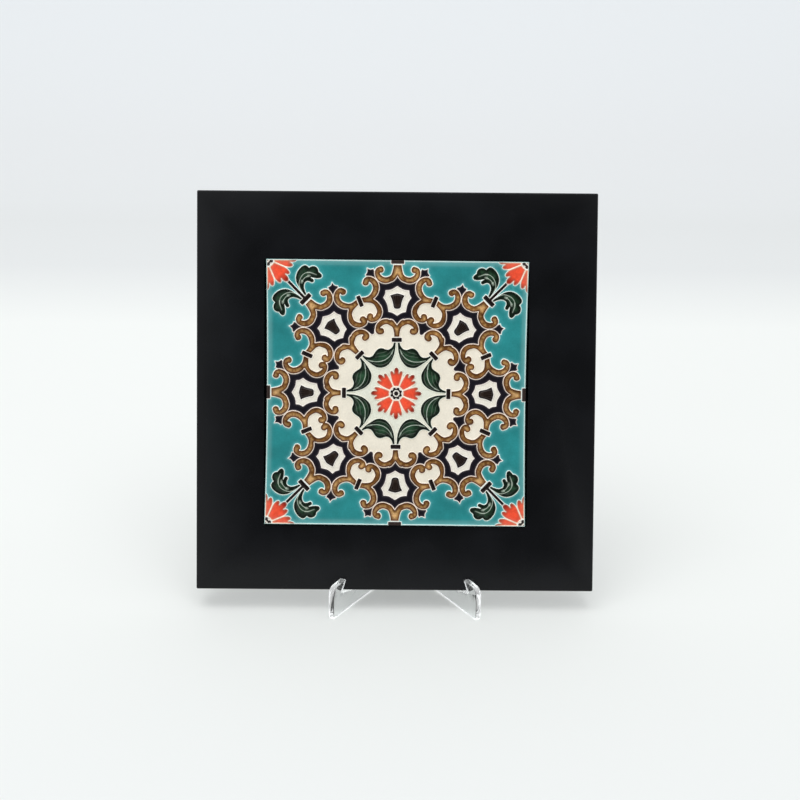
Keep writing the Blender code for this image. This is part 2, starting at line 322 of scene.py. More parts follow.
def smooth(points: Outline) -> Outline:
    """A smooth curve through points (centripetal Catmull-Rom).

    Args:
        points: the points that it passes.

    Returns:
        Points about STEP apart, the first and last included.
    """
    ends = [between(points[1], points[0], 2.0)], [between(points[-2], points[-1], 2.0)]
    knots = ends[0] + list(points) + ends[1]
    curve: Outline = []
    for a, b, c, d in zip(knots, knots[1:], knots[2:], knots[3:]):
        tb = math.dist(a, b) ** 0.5
        tc = tb + math.dist(b, c) ** 0.5
        td = tc + math.dist(c, d) ** 0.5
        pieces = max(1, math.ceil(math.dist(b, c) / STEP))
        for i in range(pieces):
            t = tb + (tc - tb) * i / pieces
            ab, bc = between(a, b, t / tb), between(b, c, (t - tb) / (tc - tb))
            cd = between(c, d, (t - tc) / (td - tc))
            abc, bcd = between(ab, bc, t / tc), between(bc, cd, (t - tb) / (td - tb))
            curve.append(between(abc, bcd, (t - tb) / (tc - tb)))
    return curve + [points[-1]]


def cornered(*runs: Outline) -> Outline:
    """Smooth runs that meet at corners.

    Args:
        *runs: points of each run, which starts where the one before it ends.

    Returns:
        The joined curve.
    """
    whole = smooth(runs[0])
    for run in runs[1:]:
        whole += smooth(run)[1:]
    return whole


def mirrored(points: Outline) -> Outline:
    """The points mirrored left to right, in the opposite order."""
    return [(-x, y) for x, y in reversed(points)]


def both_sides(points: Outline) -> Outline:
    """A closed outline from a half that starts and ends on the y axis."""
    return points + mirrored(points)[1:-1]


def turned(points: Outline, bearing: float) -> Outline:
    """The points turned clockwise about the middle by a bearing in degrees."""
    c, s = math.cos(math.radians(bearing)), math.sin(math.radians(bearing))
    return [(x * c + y * s, y * c - x * s) for x, y in points]


def across(points: Outline, bearing: float) -> Outline:
    """The points mirrored in the line through the middle at a bearing."""
    return turned(mirrored(turned(points, -bearing)), bearing)


def bar(centre: Point, half_length: float, half_width: float, corner: float) -> Outline:
    """A bar along x with round corners.

    Args:
        centre: its centre.
        half_length: half its length.
        half_width: half its width.
        corner: its corners' radius.

    Returns:
        The closed outline.
    """
    outline: Outline = []
    for side_x, side_y, start in ((1, 1, 0.0), (-1, 1, 90.0), (-1, -1, 180.0), (1, -1, 270.0)):
        middle = (centre[0] + side_x * (half_length - corner), centre[1] + side_y * (half_width - corner))
        outline += arc(middle, corner, start, start + 90.0)
    return cut_long(outline)


def cut_long(outline: Outline) -> Outline:
    """Give a closed outline more points.

    Args:
        outline: the outline.

    Returns:
        The outline with points about STEP apart on its long sides.
    """
    points: Outline = []
    for first, second in zip(outline, outline[1:] + outline[:1]):
        pieces = max(1, math.ceil(math.dist(first, second) / STEP))
        points += [between(first, second, i / pieces) for i in range(pieces)]
    return points


@dataclass(frozen=True)
class Scroll:
    """A C-scroll about its own centre, from its stem at the left, over the top, into a ball.

    Attributes:
        centre: where it stands on the tile.
        start: the angle at which it leaves its stem, degrees counter-clockwise from +x.
        clockwise: whether it runs clockwise from its stem.
        ball: the ball's centre, in the scroll's own frame.
        eye: points of its hollow side, from near the stem to the cusp above the ball.
        inside: the glaze of its hollow.
        radius: its outer radius.
        ball_radius: the ball's radius.
        curl: where the arc down to the ball is centred to the right, and its radius.
        hollow: the centre and radius of the disc that fills its hollow.
    """

    centre: Point
    start: float
    clockwise: bool
    ball: Point
    eye: tuple[Point, ...]
    inside: Glaze
    radius: float = 6.3
    ball_radius: float = 2.15
    curl: tuple[float, float] = (3.2, 3.1)
    hollow: tuple[float, float, float] = (-0.3, -1.6, 4.85)

    def placed(self, points: Outline) -> Outline:
        """Move points from the scroll's own frame.

        Args:
            points: the points.

        Returns:
            The points on the tile.
        """
        turn = math.radians(self.start - 180.0)
        flip = 1.0 if self.clockwise else -1.0
        c, s = math.cos(turn), math.sin(turn)
        return [
            (self.centre[0] + x * c - flip * y * s, self.centre[1] + x * s + flip * y * c)
            for x, y in points
        ]

    def band(self) -> Outline:
        """Draw the scroll from its stem to its ball.

        Returns:
            Its outline.
        """
        outline = arc((0.0, 0.0), self.radius, 180.0, 0.0)
        curl_x, curl_radius = self.curl
        outline += arc((curl_x, 0.0), curl_radius, -5.0, -80.0)
        outline += arc(self.ball, self.ball_radius, -100.0, -245.0)
        outline += smooth(list(reversed(self.eye)))
        return self.placed(outline)

    def hollow_disc(self) -> Outline:
        """A disc that fills the scroll's hollow from under its band."""
        x, y, radius = self.hollow
        return self.placed(circle((x, y), radius))


TIGHT = {
    "ball": (2.85, -0.85),
    "eye": ((-3.4, 1.6), (-0.3, 2.9), (2.2, 1.9), (3.0, 1.1)),
    "inside": Glaze.CREAM,
}
OPEN = {
    "ball": (2.85, -1.65),
    "eye": ((-3.05, 1.5), (-2.1, 2.0), (-0.1, 2.45), (1.6, 1.9), (2.6, 1.0), (3.0, 0.35)),
    "curl": (2.8, 3.5),
    "inside": Glaze.TEAL,
}


@dataclass
class TileDrawing:
    """The tile's pattern: a ring of eight scrolled cartouches, a leaf ring, a flower and four corners.

    The shapes are drawn for the wedge between the bearings 0 and 45, with what overlaps it.
    """

    # the side of the square that the pattern fills, and where the wedge's cartouches stand
    side: float = 152.0
    cartouche_bearings: tuple[float, ...] = (0.0, 45.0)
    # how far the pale rim reaches in, and half the width of its ridge and of a flower button's ridges
    rim_inset: float = 0.5
    rim_ridge: float = 0.24
    button_ridge: float = 0.08
    # the cream disc under the ring, and the corner flower's size against the middle one
    cream_radius: float = 55.0
    corner_flower_scale: float = 1.2
    # where the corner stem starts and ends along the diagonal, and half its width
    corner_stem: tuple[float, float, float] = (53.4, 64.4, 0.68)
    scrolls: tuple[Scroll, ...] = (
        Scroll((6.5, 36.4), 180.0, True, **TIGHT),
        Scroll((14.8, 46.6), 90.0, False, **TIGHT),
        Scroll((16.8, 60.4), 270.0, True, **OPEN),
        Scroll((7.1, 68.9), 180.0, False, **OPEN),
    )
    shapes: list[Shape] = field(default_factory=list)
    veins: list[Vein] = field(default_factory=list)

    def add(self, glaze: Glaze, outline: Outline, layer: Layer, ridge: float = RIDGE) -> None:
        """Add one shape."""
        self.shapes.append(Shape(glaze, outline, layer, ridge))

    def draw(self) -> None:
        """Draw every shape and vein."""
        self.grounds()
        for bearing in self.cartouche_bearings:
            self.cartouche(bearing)
        self.spandrel()
        self.ring_leaf()
        self.flower((0.0, 0.0), 1.0, [(3.75, 11.2), (3.4, 9.3), (2.85, 7.3), (2.2, 5.4), (1.58, 3.9)])
        self.clips()
        self.corner()
        self.shapes.sort(key=lambda shape: shape.layer)

    def grounds(self) -> None:
        """The teal ground, the cream disc, the pale star inside the leaves, and the rim over all."""
        half = self.side / 2 + 1.0
        square = [(-half, -half), (half, -half), (half, half), (-half, half)]
        self.add(Glaze.TEAL, cut_long(square), Layer.GROUND)
        self.add(Glaze.CREAM, circle((0.0, 0.0), self.cream_radius), Layer.DISC)
        sweep = [(0.0, 29.6)] + self.leaf_inner_side() + [turned([(0.0, 29.6)], 45.0)[0]]
        star = smooth(sweep)[:-1]
        pair = star + across(star, 45.0)
        self.add(Glaze.CELADON, [p for k in range(4) for p in turned(pair, 90.0 * k)], Layer.STAR)

    def cartouche(self, bearing: float) -> None:
        """One cartouche of the ring: navy body, scrolls, stems, shield and bell.

        Args:
            bearing: the cartouche's bearing, degrees.
        """
        right: list[tuple[Glaze, Outline, Layer]] = []
        for scroll in self.scrolls:
            right.append((scroll.inside, scroll.hollow_disc(), Layer.HOLLOW))
            right.append((Glaze.HONEY, scroll.band(), Layer.SCROLL))
        right.append((Glaze.NAVY, self.crown(), Layer.DARK))
        right.append((Glaze.HONEY, self.side_stem(), Layer.STEM))
        centres = [scroll.centre for scroll in self.scrolls]
        self.add(Glaze.NAVY, turned(cut_long(centres + mirrored(centres)), bearing), Layer.BODY)
        for glaze, outline, layer in right:
            self.add(glaze, turned(outline, bearing), layer)
            self.add(glaze, turned(mirrored(outline), bearing), layer)
        for outline in (self.inner_stem(), self.outer_stem()):
            self.add(Glaze.HONEY, turned(both_sides(outline), bearing), Layer.STEM)
        self.add(Glaze.SHIELD, turned(both_sides(self.shield()), bearing), Layer.FIGURE)
        self.add(Glaze.BLACK, turned(both_sides(self.bell()), bearing), Layer.INNER_FIGURE)
        for x in (0.0, 0.75, -0.75, 1.5, -1.5):
            flute = [(x * 0.75, 49.4 + abs(x) * 0.3), (x * 1.5, 56.2 - abs(x) * 0.45)]
            self.veins.append(Vein(turned(smooth(flute), bearing), [0.08, 0.11]))

    def crown(self) -> Outline:
        """Draw the small dark crown in the crook between the two outer scrolls.

        Returns:
            Its outline.
        """
        return cornered(
            [(12.5, 69.5), (13.5, 70.0), (13.95, 71.2)],
            [(13.95, 71.2), (15.6, 70.65), (17.75, 71.4)],
            [(17.75, 71.4), (17.65, 69.2), (18.75, 67.4)],
            [(18.75, 67.4), (17.0, 65.6)],
            [(17.0, 65.6), (12.2, 65.1)],
            [(12.2, 65.1), (12.5, 69.5)],
        )[:-1]

    def side_stem(self) -> Outline:
        """Draw the web between the two side scrolls, and the stem from it to the clip beside it.

        Returns:
            Its outline.
        """
        return cornered(
            [(10.5, 59.3), (11.2, 57.0), (12.35, 55.2), (13.75, 53.95)],
            [(13.75, 53.95), (13.0, 53.35), (11.4, 52.2), (10.0, 50.6)],
            [(10.0, 50.6), (12.5, 49.2)],
            [(12.5, 49.2), (13.3, 50.1), (14.4, 50.95), (16.0, 51.35), (18.0, 51.4), (21.5, 51.3)],
            [(21.5, 51.3), (22.3, 54.6)],
            [(22.3, 54.6), (20.0, 54.75), (18.6, 54.95), (17.3, 55.4), (16.1, 56.3), (15.3, 57.4),
             (14.7, 58.6)],
            [(14.7, 58.6), (10.5, 59.3)],
        )[:-1]

    def inner_stem(self) -> Outline:
        """Draw the stem between the two inner scrolls.

        Returns:
            Its right half.
        """
        return cornered(
            [(0.0, 39.2), (0.85, 40.3), (2.35, 41.95), (3.85, 42.5)],
            [(3.85, 42.5), (4.0, 38.7)],
            [(4.0, 38.7), (3.1, 38.0), (2.3, 36.7), (1.95, 35.2), (1.75, 33.7), (1.65, 32.25)],
            [(1.65, 32.25), (0.0, 32.25)],
        )

    def outer_stem(self) -> Outline:
        """Draw the stem between the two outer scrolls.

        Returns:
            Its right half.
        """
        return cornered(
            [(0.0, 67.0), (0.85, 65.65), (2.35, 64.1), (4.1, 63.3)],
            [(4.1, 63.3), (5.0, 66.9)],
            [(5.0, 66.9), (4.1, 67.4), (3.55, 68.3), (3.0, 70.0), (2.6, 72.0), (2.45, 73.45)],
            [(2.45, 73.45), (0.0, 73.45)],
        )

    def shield(self) -> Outline:
        """Draw the pale shield, with hollow sides.

        Returns:
            Its right half.
        """
        return cornered(
            [(0.0, 61.05), (1.7, 60.0), (3.3, 59.15), (5.1, 58.75), (6.7, 58.65)],
            [(6.7, 58.65), (6.9, 56.7), (7.95, 54.65)],
            [(7.95, 54.65), (6.55, 52.65), (5.55, 50.3), (5.15, 48.3), (4.85, 46.7)],
            [(4.85, 46.7), (3.0, 46.3), (1.4, 45.5), (0.0, 44.65)],
        )

    def bell(self) -> Outline:
        """Draw the dark bell on the shield.

        Returns:
            Its right half.
        """
        return cornered(
            [(0.0, 57.3), (2.0, 56.85), (4.5, 56.0)],
            [(4.5, 56.0), (3.6, 54.3), (2.95, 52.6), (2.5, 50.6), (2.2, 49.2), (1.4, 48.3), (0.0, 48.1)],
        )

    def spandrel(self) -> None:
        """The dark kite between two neighbouring cartouches, on the bearing 22.5."""
        half = cornered(
            [(17.1, 41.3), (14.5, 43.0)],
            [(14.5, 43.0), (9.5, 41.0)],
            [(9.5, 41.0), (11.0, 36.4)],
            [(11.0, 36.4), (12.9, 36.4), (12.95, 35.2), (13.1, 34.1), (13.8, 33.35)],
        )
        self.add(Glaze.NAVY, half + across(half, 22.5)[1:-1], Layer.DARK)

    def leaf_inner_side(self) -> Outline:
        """Draw the leaf's side towards the middle.

        Returns:
            Its points from one tip to the other.
        """
        return [
            (0.42, 29.3), (0.6, 26.6), (0.95, 23.6), (1.55, 21.5), (2.55, 19.1), (4.1, 16.9), (5.9, 15.35),
            (7.75, 14.65), (9.65, 14.4), (11.45, 14.65), (13.25, 15.5), (15.05, 16.65), (16.8, 17.85),
            (18.55, 19.25), (20.4, 21.0),
        ]

    def ring_leaf(self) -> None:
        """The leaf between two clips of the inner ring, with its midrib."""
        inner = self.leaf_inner_side()
        outer = [
            (19.6, 21.8), (18.4, 21.15), (17.0, 20.75), (15.6, 20.8), (14.4, 21.3), (13.4, 22.6),
            (12.4, 24.1), (11.1, 25.35), (9.5, 25.95), (8.0, 25.8), (6.5, 25.25), (5.0, 25.15), (3.6, 25.8),
            (2.45, 27.2), (1.75, 29.3),
        ]
        leaf = cornered(inner, [inner[-1], outer[0]], outer, [outer[-1], inner[0]])[:-1]
        self.add(Glaze.GREEN, leaf, Layer.FIGURE)
        for line in (
            [(3.1, 24.3), (4.8, 22.6), (7.2, 21.4), (10.0, 21.0), (12.4, 20.6)],
            [(6.0, 24.1), (7.8, 23.3), (9.8, 23.0), (11.6, 22.4)],
            [(2.3, 22.4), (3.4, 19.9), (5.3, 17.7), (7.9, 16.5), (10.9, 16.3), (13.6, 17.0)],
        ):
            self.veins.append(Vein(smooth(line), [0.02, 0.035, 0.02]))
        midrib = [
            (1.9, 25.2), (3.0, 22.8), (4.5, 20.8), (6.5, 19.3), (8.5, 18.5), (10.5, 18.1), (13.0, 18.1),
            (15.0, 18.4), (17.2, 19.0),
        ]
        self.veins.append(Vein(smooth(midrib), [0.08, 0.28, 0.32, 0.26, 0.08]))

    def petal(self, side: Outline) -> Outline:
        """A petal that points up, with a lobe on each side of its tip.

        Args:
            side: its right side, from the lobe's shoulder down to its foot.

        Returns:
            The closed outline.
        """
        half = cornered(
            [(0.0, 14.95), (0.85, 14.5), (1.4, 13.4), (1.55, 12.4), (1.5, 11.7)],
            [(1.5, 11.7), (2.1, 12.6), (2.95, 12.95), (3.6, 12.5)] + side,
            [side[-1], (0.0, 3.7)],
        )
        return both_sides(half)

    def flower(self, centre: Point, scale: float, side: Outline) -> None:
        """Eight petals about a button with a ring of dots.

        Args:
            centre: the flower's centre.
            scale: its size against the middle flower.
            side: the petals' right side.
        """
        middle = (0.0, 0.0)
        parts = [(Glaze.CORAL, turned(self.petal(side), 45.0 * k), Layer.PETAL, RIDGE) for k in range(8)]
        dots = [circle(turned([(0.0, 2.8)], 45.0 * k + 22.5)[0], 0.85) for k in range(8)]
        button = [(Glaze.SHIELD, circle(middle, 3.95), Layer.BUTTON)]
        button += [(Glaze.BLACK, outline, Layer.DOTS) for outline in [circle(middle, 2.85)] + dots]
        button.append((Glaze.SHIELD, circle(middle, 1.95), Layer.EYE))
        button.append((Glaze.BLACK, circle(middle, 1.3), Layer.PUPIL))
        parts += [(*part, self.button_ridge) for part in button]
        for glaze, outline, layer, ridge in parts:
            placed = [(centre[0] + x * scale, centre[1] + y * scale) for x, y in outline]
            self.add(glaze, placed, layer, ridge)

    def clips(self) -> None:
        """The dark clips that bind the stems: inner, between cartouches, at the rim and in the corner."""
        inner = bar((0.0, 30.65), 3.15, 1.4, 0.5)
        side = bar((0.0, 56.7), 1.4, 3.45, 0.5)
        corner = bar((0.0, 75.4), 4.05, 1.45, 0.5)
        at_rim = bar((0.0, 74.95), 3.95, 1.2, 0.4)
        for outline, bearing in ((inner, 0.0), (inner, 45.0), (side, 22.5), (corner, 45.0)):
            self.add(Glaze.BLACK, turned(outline, bearing), Layer.CLIP)
        self.add(Glaze.BLACK, at_rim, Layer.RIM_CLIP)

    def corner(self) -> None:
        """The corner's acanthus leaves, stem and quarter flower."""
        half = self.side / 2
        leaf = cornered(
            [(52.6, 55.9), (53.6, 58.2), (54.1, 60.6), (53.5, 62.6), (52.3, 63.4), (50.9, 63.2)],
            [(50.9, 63.2), (49.5, 62.6), (48.5, 63.1), (48.3, 64.3), (50.1, 65.6)],
            [(50.1, 65.6), (47.9, 65.1), (46.0, 65.0), (44.3, 65.4), (43.6, 66.7), (44.3, 67.9),
             (45.6, 68.9)],
            [(45.6, 68.9), (45.8, 70.2), (46.8, 71.6), (48.6, 72.2), (50.2, 71.9), (51.2, 71.2)],
            [(51.2, 71.2), (52.0, 72.1), (53.4, 72.7), (55.0, 72.2), (57.0, 70.4), (58.4, 68.1),
             (59.0, 65.6), (58.8, 63.5), (58.0, 61.4), (56.4, 58.9), (54.8, 56.6), (53.6, 55.0)],
            [(53.6, 55.0), (52.6, 55.9)],
        )[:-1]
        long_vein = [
            (55.6, 57.9), (56.9, 60.3), (57.0, 62.5), (56.3, 64.8), (55.0, 66.9), (53.0, 68.2),
            (50.5, 68.4), (48.3, 67.7), (46.9, 67.2),
        ]
        short_vein = [(55.6, 63.0), (54.0, 65.1), (52.0, 66.3), (50.9, 66.6)]
        self.add(Glaze.GREEN, leaf, Layer.INNER_FIGURE)
        self.add(Glaze.GREEN, across(leaf, 45.0), Layer.INNER_FIGURE)
        for line in (long_vein, short_vein):
            self.veins.append(Vein(smooth(line), [0.08, 0.26, 0.28, 0.2, 0.08]))
        start, end, half_width = self.corner_stem
        stem = [(start + half_width, start - half_width), (end + half_width, end - half_width)]
        self.add(Glaze.BLACK, cut_long(stem + across(stem, 45.0)), Layer.PETAL)
        side = [(3.95, 11.0), (3.78, 9.3), (2.98, 7.3), (2.22, 5.4), (1.58, 3.9)]
        self.flower((half, half), self.corner_flower_scale, side)
        inset = half - self.rim_inset
        reach = half + 2.0
        strip = [(-reach, inset), (reach, inset), (reach, reach), (-reach, reach)]
        self.add(Glaze.RIM, cut_long(strip), Layer.RIM, self.rim_ridge)


# --- from the drawing to a relief --------------------------------------------------------------------


def inside(points: np.ndarray, outline: Outline) -> np.ndarray:
    """Tell which points lie in a closed outline.

    Args:
        points: one point a row.
        outline: the outline.

    Returns:
        A boolean for each point.
    """
    start = np.array(outline)
    end = np.roll(start, -1, axis=0)
    found = np.zeros(len(points), bool)
    low, high = start.min(axis=0), start.max(axis=0)
    near = np.flatnonzero(((points > low) & (points < high)).all(axis=1))
    x, y = points[near, :1], points[near, 1:]
    crosses = (start[:, 1] > y) != (end[:, 1] > y)
    rise = np.where(end[:, 1] == start[:, 1], 1.0, end[:, 1] - start[:, 1])
    cut = start[:, 0] + (y - start[:, 1]) * (end[:, 0] - start[:, 0]) / rise
    found[near] = (crosses & (x < cut)).sum(axis=1) % 2 == 1
    return found


def smoothstep(values: np.ndarray) -> np.ndarray:
    """Ease values from 0 to 1 between 0 and 1."""
    t = np.clip(values, 0.0, 1.0)
    return t * t * (3.0 - 2.0 * t)


class Sieve:
    """Keeps points that are no closer than a gap to those kept before."""

    def __init__(self, cell: float) -> None:
        """Start empty.

        Args:
            cell: the side of the squares that the points are sorted in, no less than any gap.
        """
        self.cell = cell
        self.cells: dict[tuple[int, int], list[Point]] = {}

    def keep(self, point: Point, gap: float) -> bool:
        """Keep a point if it is clear of the others.

        Args:
            point: the point.
            gap: its least distance to them.

        Returns:
            Whether it was kept.
        """
        column, row = math.floor(point[0] / self.cell), math.floor(point[1] / self.cell)
        for i in range(column - 1, column + 2):
            for j in range(row - 1, row + 2):
                if any(math.dist(point, other) < gap for other in self.cells.get((i, j), ())):
                    return False
        self.cells.setdefault((column, row), []).append(point)
        return True


@dataclass(frozen=True)
class Pool:
    """How a glaze lies in its cell, in mm.

    Attributes:
        level: its surface beside the ridge, above the tile's plane.
        dome: how far it stands higher in the middle.
        reach: the distance from the ridge over which it rises.
    """

    level: float
    dome: float
    reach: float


POOLS = {
    Glaze.TEAL: Pool(0.28, 0.10, 4.0),
    Glaze.CREAM: Pool(0.30, 0.06, 3.0),
    Glaze.CELADON: Pool(0.28, 0.06, 2.0),
    Glaze.NAVY: Pool(0.24, 0.10, 3.0),
    Glaze.HONEY: Pool(0.36, 0.40, 1.6),
    Glaze.BLACK: Pool(0.42, 0.42, 1.1),
    Glaze.SHIELD: Pool(0.34, 0.12, 1.4),
    Glaze.GREEN: Pool(0.32, 0.36, 2.6),
    Glaze.CORAL: Pool(0.34, 0.30, 1.5),
    Glaze.RIM: Pool(0.26, 0.0, 1.0),
}


@dataclass
class Crest:
    """The middle line of a ridge or vein, with half its width at each point."""

    line: Outline
    widths: list[float]
    vein: bool


def segments(crests: list[Crest], veins: bool) -> Segments:
    """Cut the veins, or the ridges between cells, into segments.

    Args:
        crests: all crests.
        veins: whether to give the veins.

    Returns:
        The segments' starts and ends, and half the ridge's width at their middles.
    """
    starts, ends, widths = [], [], []
    for crest in crests:
        if crest.vein == veins:
            starts += crest.line[:-1]
            ends += crest.line[1:]
            widths += [(a + b) / 2 for a, b in zip(crest.widths, crest.widths[1:])]
    return np.array(starts), np.array(ends), np.array(widths)


def clearance(points: np.ndarray, ridges: Segments) -> tuple[np.ndarray, np.ndarray]:
    """Find each point's nearest ridge.

    Args:
        points: one point a row.
        ridges: the ridges' segments.

    Returns:
        The distances to that ridge's side, negative on the ridge, and half its width.
    """
    starts, ends, widths = ridges
    along = ends - starts
    length = (along**2).sum(axis=1)
    gaps, halves = np.empty(len(points)), np.empty(len(points))
    block = 400
    for first in range(0, len(points), block):
        offset = points[first : first + block, None] - starts
        share = np.clip((offset * along).sum(axis=2) / length, 0.0, 1.0)
        distance = np.linalg.norm(offset - share[..., None] * along, axis=2) - widths
        nearest = distance.argmin(axis=1)
        gaps[first : first + block] = distance[np.arange(len(nearest)), nearest]
        halves[first : first + block] = widths[nearest]
    return gaps, halves


def side_owners(triangles: np.ndarray) -> dict[tuple[int, int], list[int]]:
    """Find which triangles lie on each side.

    Args:
        triangles: three point indices a row.

    Returns:
        The triangles' indices, by the two points of the side in order.
    """
    owners: dict[tuple[int, int], list[int]] = {}
    for index, triangle in enumerate(triangles):
        for a, b in zip(triangle, np.roll(triangle, -1)):
            owners.setdefault((min(a, b), max(a, b)), []).append(index)
    return owners


def areas(places: np.ndarray, triangles: np.ndarray) -> np.ndarray:
    """The triangles' areas."""
    a, b, c = places[triangles].transpose(1, 0, 2)
    return np.abs((b - a)[:, 0] * (c - a)[:, 1] - (b - a)[:, 1] * (c - a)[:, 0]) / 2


def grouped(count: int, pairs: list[list[int]]) -> np.ndarray:
    """Group things that pairs join.

    Args:
        count: how many things there are.
        pairs: what belongs together.

    Returns:
        Each thing's group, as one member's index.
    """
    parent = list(range(count))

    def root(i: int) -> int:
        """Find a group's first member.

        Args:
            i: any member.

        Returns:
            The first member.
        """
        while parent[i] != i:
            parent[i] = parent[parent[i]]
            i = parent[i]
        return i

    for a, b in pairs:
        parent[root(a)] = root(b)
    return np.array([root(i) for i in range(count)])


@dataclass
class Relief:
    """The moulded face, meshed for one eighth of the square, between the bearings 0 and 45.

    Ridges run where two glazes meet. The mesh has a row of points on each ridge's crest, one at its foot
    and more beside it, and an even grid in between. Sizes in mm.
    """

    drawing: TileDrawing
    # points along a ridge, the rows beside it, and the least gap in each row
    spacing: float = 0.48
    rows: tuple[float, ...] = (0.0, 0.27, 0.75)
    row_gaps: tuple[float, ...] = (0.22, 0.26, 0.45)
    # the even grid, its least gap, and its margins to the wedge's border and to the outermost row
    grid: float = 1.1
    grid_gap: float = 0.62
    grid_margins: tuple[float, float] = (0.3, 0.2)
    sieve_cell: float = 0.7
    # points on the wedge's border, their least gap, and the band along it that the rows keep clear
    border_spacing: float = 0.25
    border_gap: float = 0.2
    border_band: float = 0.12
    # the border's points are closest within this reach of a ridge, and miss the middle of its flank
    ridge_reach: float = 1.2
    flank: tuple[float, float] = (-0.14, 0.1)
    # the turn that makes a corner in a line
    corner_turn: float = math.radians(40.0)
    # the tile's rounded edge, and its rows of points by their distance from the border
    edge_round: float = 0.5
    edge_rows: tuple[float, ...] = (0.3, 0.12)
    edge_gap: float = 0.1
    # heights above the tile's plane, and how fast the glaze that climbs a ridge's foot runs out
    crest_height: float = 0.8
    foot_height: float = 0.5
    run_off: float = 0.4
    vein_rise: float = 0.24
    full_vein: float = 0.2
    # how far from the border the glaze begins to turn paler, and over what width
    border_reach: float = 4.2
    border_fall: float = 2.2
    # the area under which a cell has no glaze of its own, square mm
    least_cell: float = 0.12
    # the shapes that reach the wedge, and the wedge's mesh with the glaze of each triangle
    shapes: list[Shape] = field(init=False)
    points: np.ndarray = field(init=False)
    triangles: np.ndarray = field(init=False)
    glazes: np.ndarray = field(init=False)
    # at each point: its height, the glaze's depth, how far it is a vein, and how near the tile's border
    heights: np.ndarray = field(init=False)
    depth: np.ndarray = field(init=False)
    vein: np.ndarray = field(init=False)
    border_pale: np.ndarray = field(init=False)

    @property
    def half(self) -> float:
        """Half the square's side."""
        return self.drawing.side / 2

    def build(self) -> None:
        """Mesh the wedge and give each point its height."""
        self.shapes = [shape for shape in self.drawing.shapes if self.reaches_wedge(shape.outline)]
        crests = self.crests()
        seeds, links = self.seeds(crests)
        self.mesh(seeds, links)
        self.lift(crests)
        log.info("relief: %d points, %d faces in an eighth", len(self.points), len(self.triangles))

    def reaches_wedge(self, outline: Outline) -> bool:
        """Tell which outlines are worth cutting.

        Args:
            outline: an outline.

        Returns:
            Whether it may overlap the wedge.
        """
        right, left = max(x for x, _ in outline), min(x for x, _ in outline)
        top, low = max(y for _, y in outline), min(y for _, y in outline)
        over_diagonal = min(x - y for x, y in outline) < 0.0
        return left < self.half and right > 0.0 and low < self.half and top > 0.0 and over_diagonal

    def in_wedge(self, points: np.ndarray, margin: float = 0.0) -> np.ndarray:
        """Tell which points lie in the wedge.

        Args:
            points: the points.
            margin: how far from the wedge's borders they must be.

        Returns:
            True or False for each point.
        """
        x, y = points[:, 0], points[:, 1]
        return (x > margin) & (y < self.half - margin) & (y - x > margin * math.sqrt(2.0))

    def labels(self, points: np.ndarray) -> np.ndarray:
        """Find the uppermost shape at each point.

        Args:
            points: the points.

        Returns:
            The shapes' indices.
        """
        found = np.zeros(len(points), int)
        for i, shape in enumerate(self.shapes):
            found[inside(points, shape.outline)] = i
        return found

    def crests(self) -> list[Crest]:
        """Cut the wedge along every outline and find the lines between unlike glazes.

        Returns:
            The ridges and the veins.
        """
        corners = [(0.0, 0.0), (0.0, self.half), (self.half, self.half)]
        points: list[Vector] = []
        edges: list[tuple[int, int]] = []
        for outline in [corners] + [shape.outline for shape in self.shapes]:
            first, count = len(points), len(outline)
            points += [Vector(p) for p in outline]
            edges += [(first + i, first + (i + 1) % count) for i in range(count)]
        cut, _, faces, *_ = delaunay_2d_cdt(points, edges, [], 0, 1e-4)
        places = np.array([tuple(p) for p in cut])
        triangles = np.array([face for face in faces if len(face) == 3])
        middles = places[triangles].mean(axis=1)
        kept = self.in_wedge(middles)
        triangles, middles = triangles[kept], middles[kept]
        labels = self.labels(middles)
        glaze = np.array([self.shapes[i].glaze.value for i in labels])
        self.merge_small(places, triangles, glaze)
        links: dict[int, dict[int, float]] = {}
        for (a, b), owners in side_owners(triangles).items():
            if len(owners) == 2 and glaze[owners[0]] != glaze[owners[1]]:
                ridge = max(self.shapes[labels[owner]].ridge for owner in owners)
                links.setdefault(a, {})[b] = ridge
                links.setdefault(b, {})[a] = ridge
        crests = []
        for chain in self.chains(places, links):
            width = max(links[a][b] for a, b in zip(chain, chain[1:]))
            line = self.evenly([tuple(places[i]) for i in chain])
            crests.append(Crest(line, [width] * len(line), False))
        for vein in self.drawing.veins:
            line = self.evenly(vein.line)
            stops = np.linspace(0.0, 1.0, len(vein.widths))
            widths = list(np.interp(np.linspace(0.0, 1.0, len(line)), stops, vein.widths))
            crests.append(Crest(line, widths, True))
        return crests

    def merge_small(self, places: np.ndarray, triangles: np.ndarray, glaze: np.ndarray) -> None:
        """Give cells too small to glaze to their larger neighbour.

        Args:
            places: the points.
            triangles: the triangles.
            glaze: each triangle's glaze, which this changes.
        """
        pairs = {side: owners for side, owners in side_owners(triangles).items() if len(owners) == 2}
        alike = [owners for owners in pairs.values() if glaze[owners[0]] == glaze[owners[1]]]
        group = grouped(len(triangles), alike)
        total = np.bincount(group, areas(places, triangles))
        border: dict[int, dict[int, float]] = {}
        for (first, second), owners in pairs.items():
            if group[owners[0]] != group[owners[1]]:
                length = float(np.linalg.norm(places[first] - places[second]))
                for near, far in (owners, owners[::-1]):
                    share = border.setdefault(group[near], {})
                    share[far] = share.get(far, 0.0) + length
        for cell in np.flatnonzero((total > 0) & (total < self.least_cell)):
            lengths: dict[int, float] = {}
            for far, length in border.get(cell, {}).items():
                lengths[glaze[far]] = lengths.get(glaze[far], 0.0) + length
            if lengths:
                glaze[group == cell] = max(lengths, key=lengths.get)

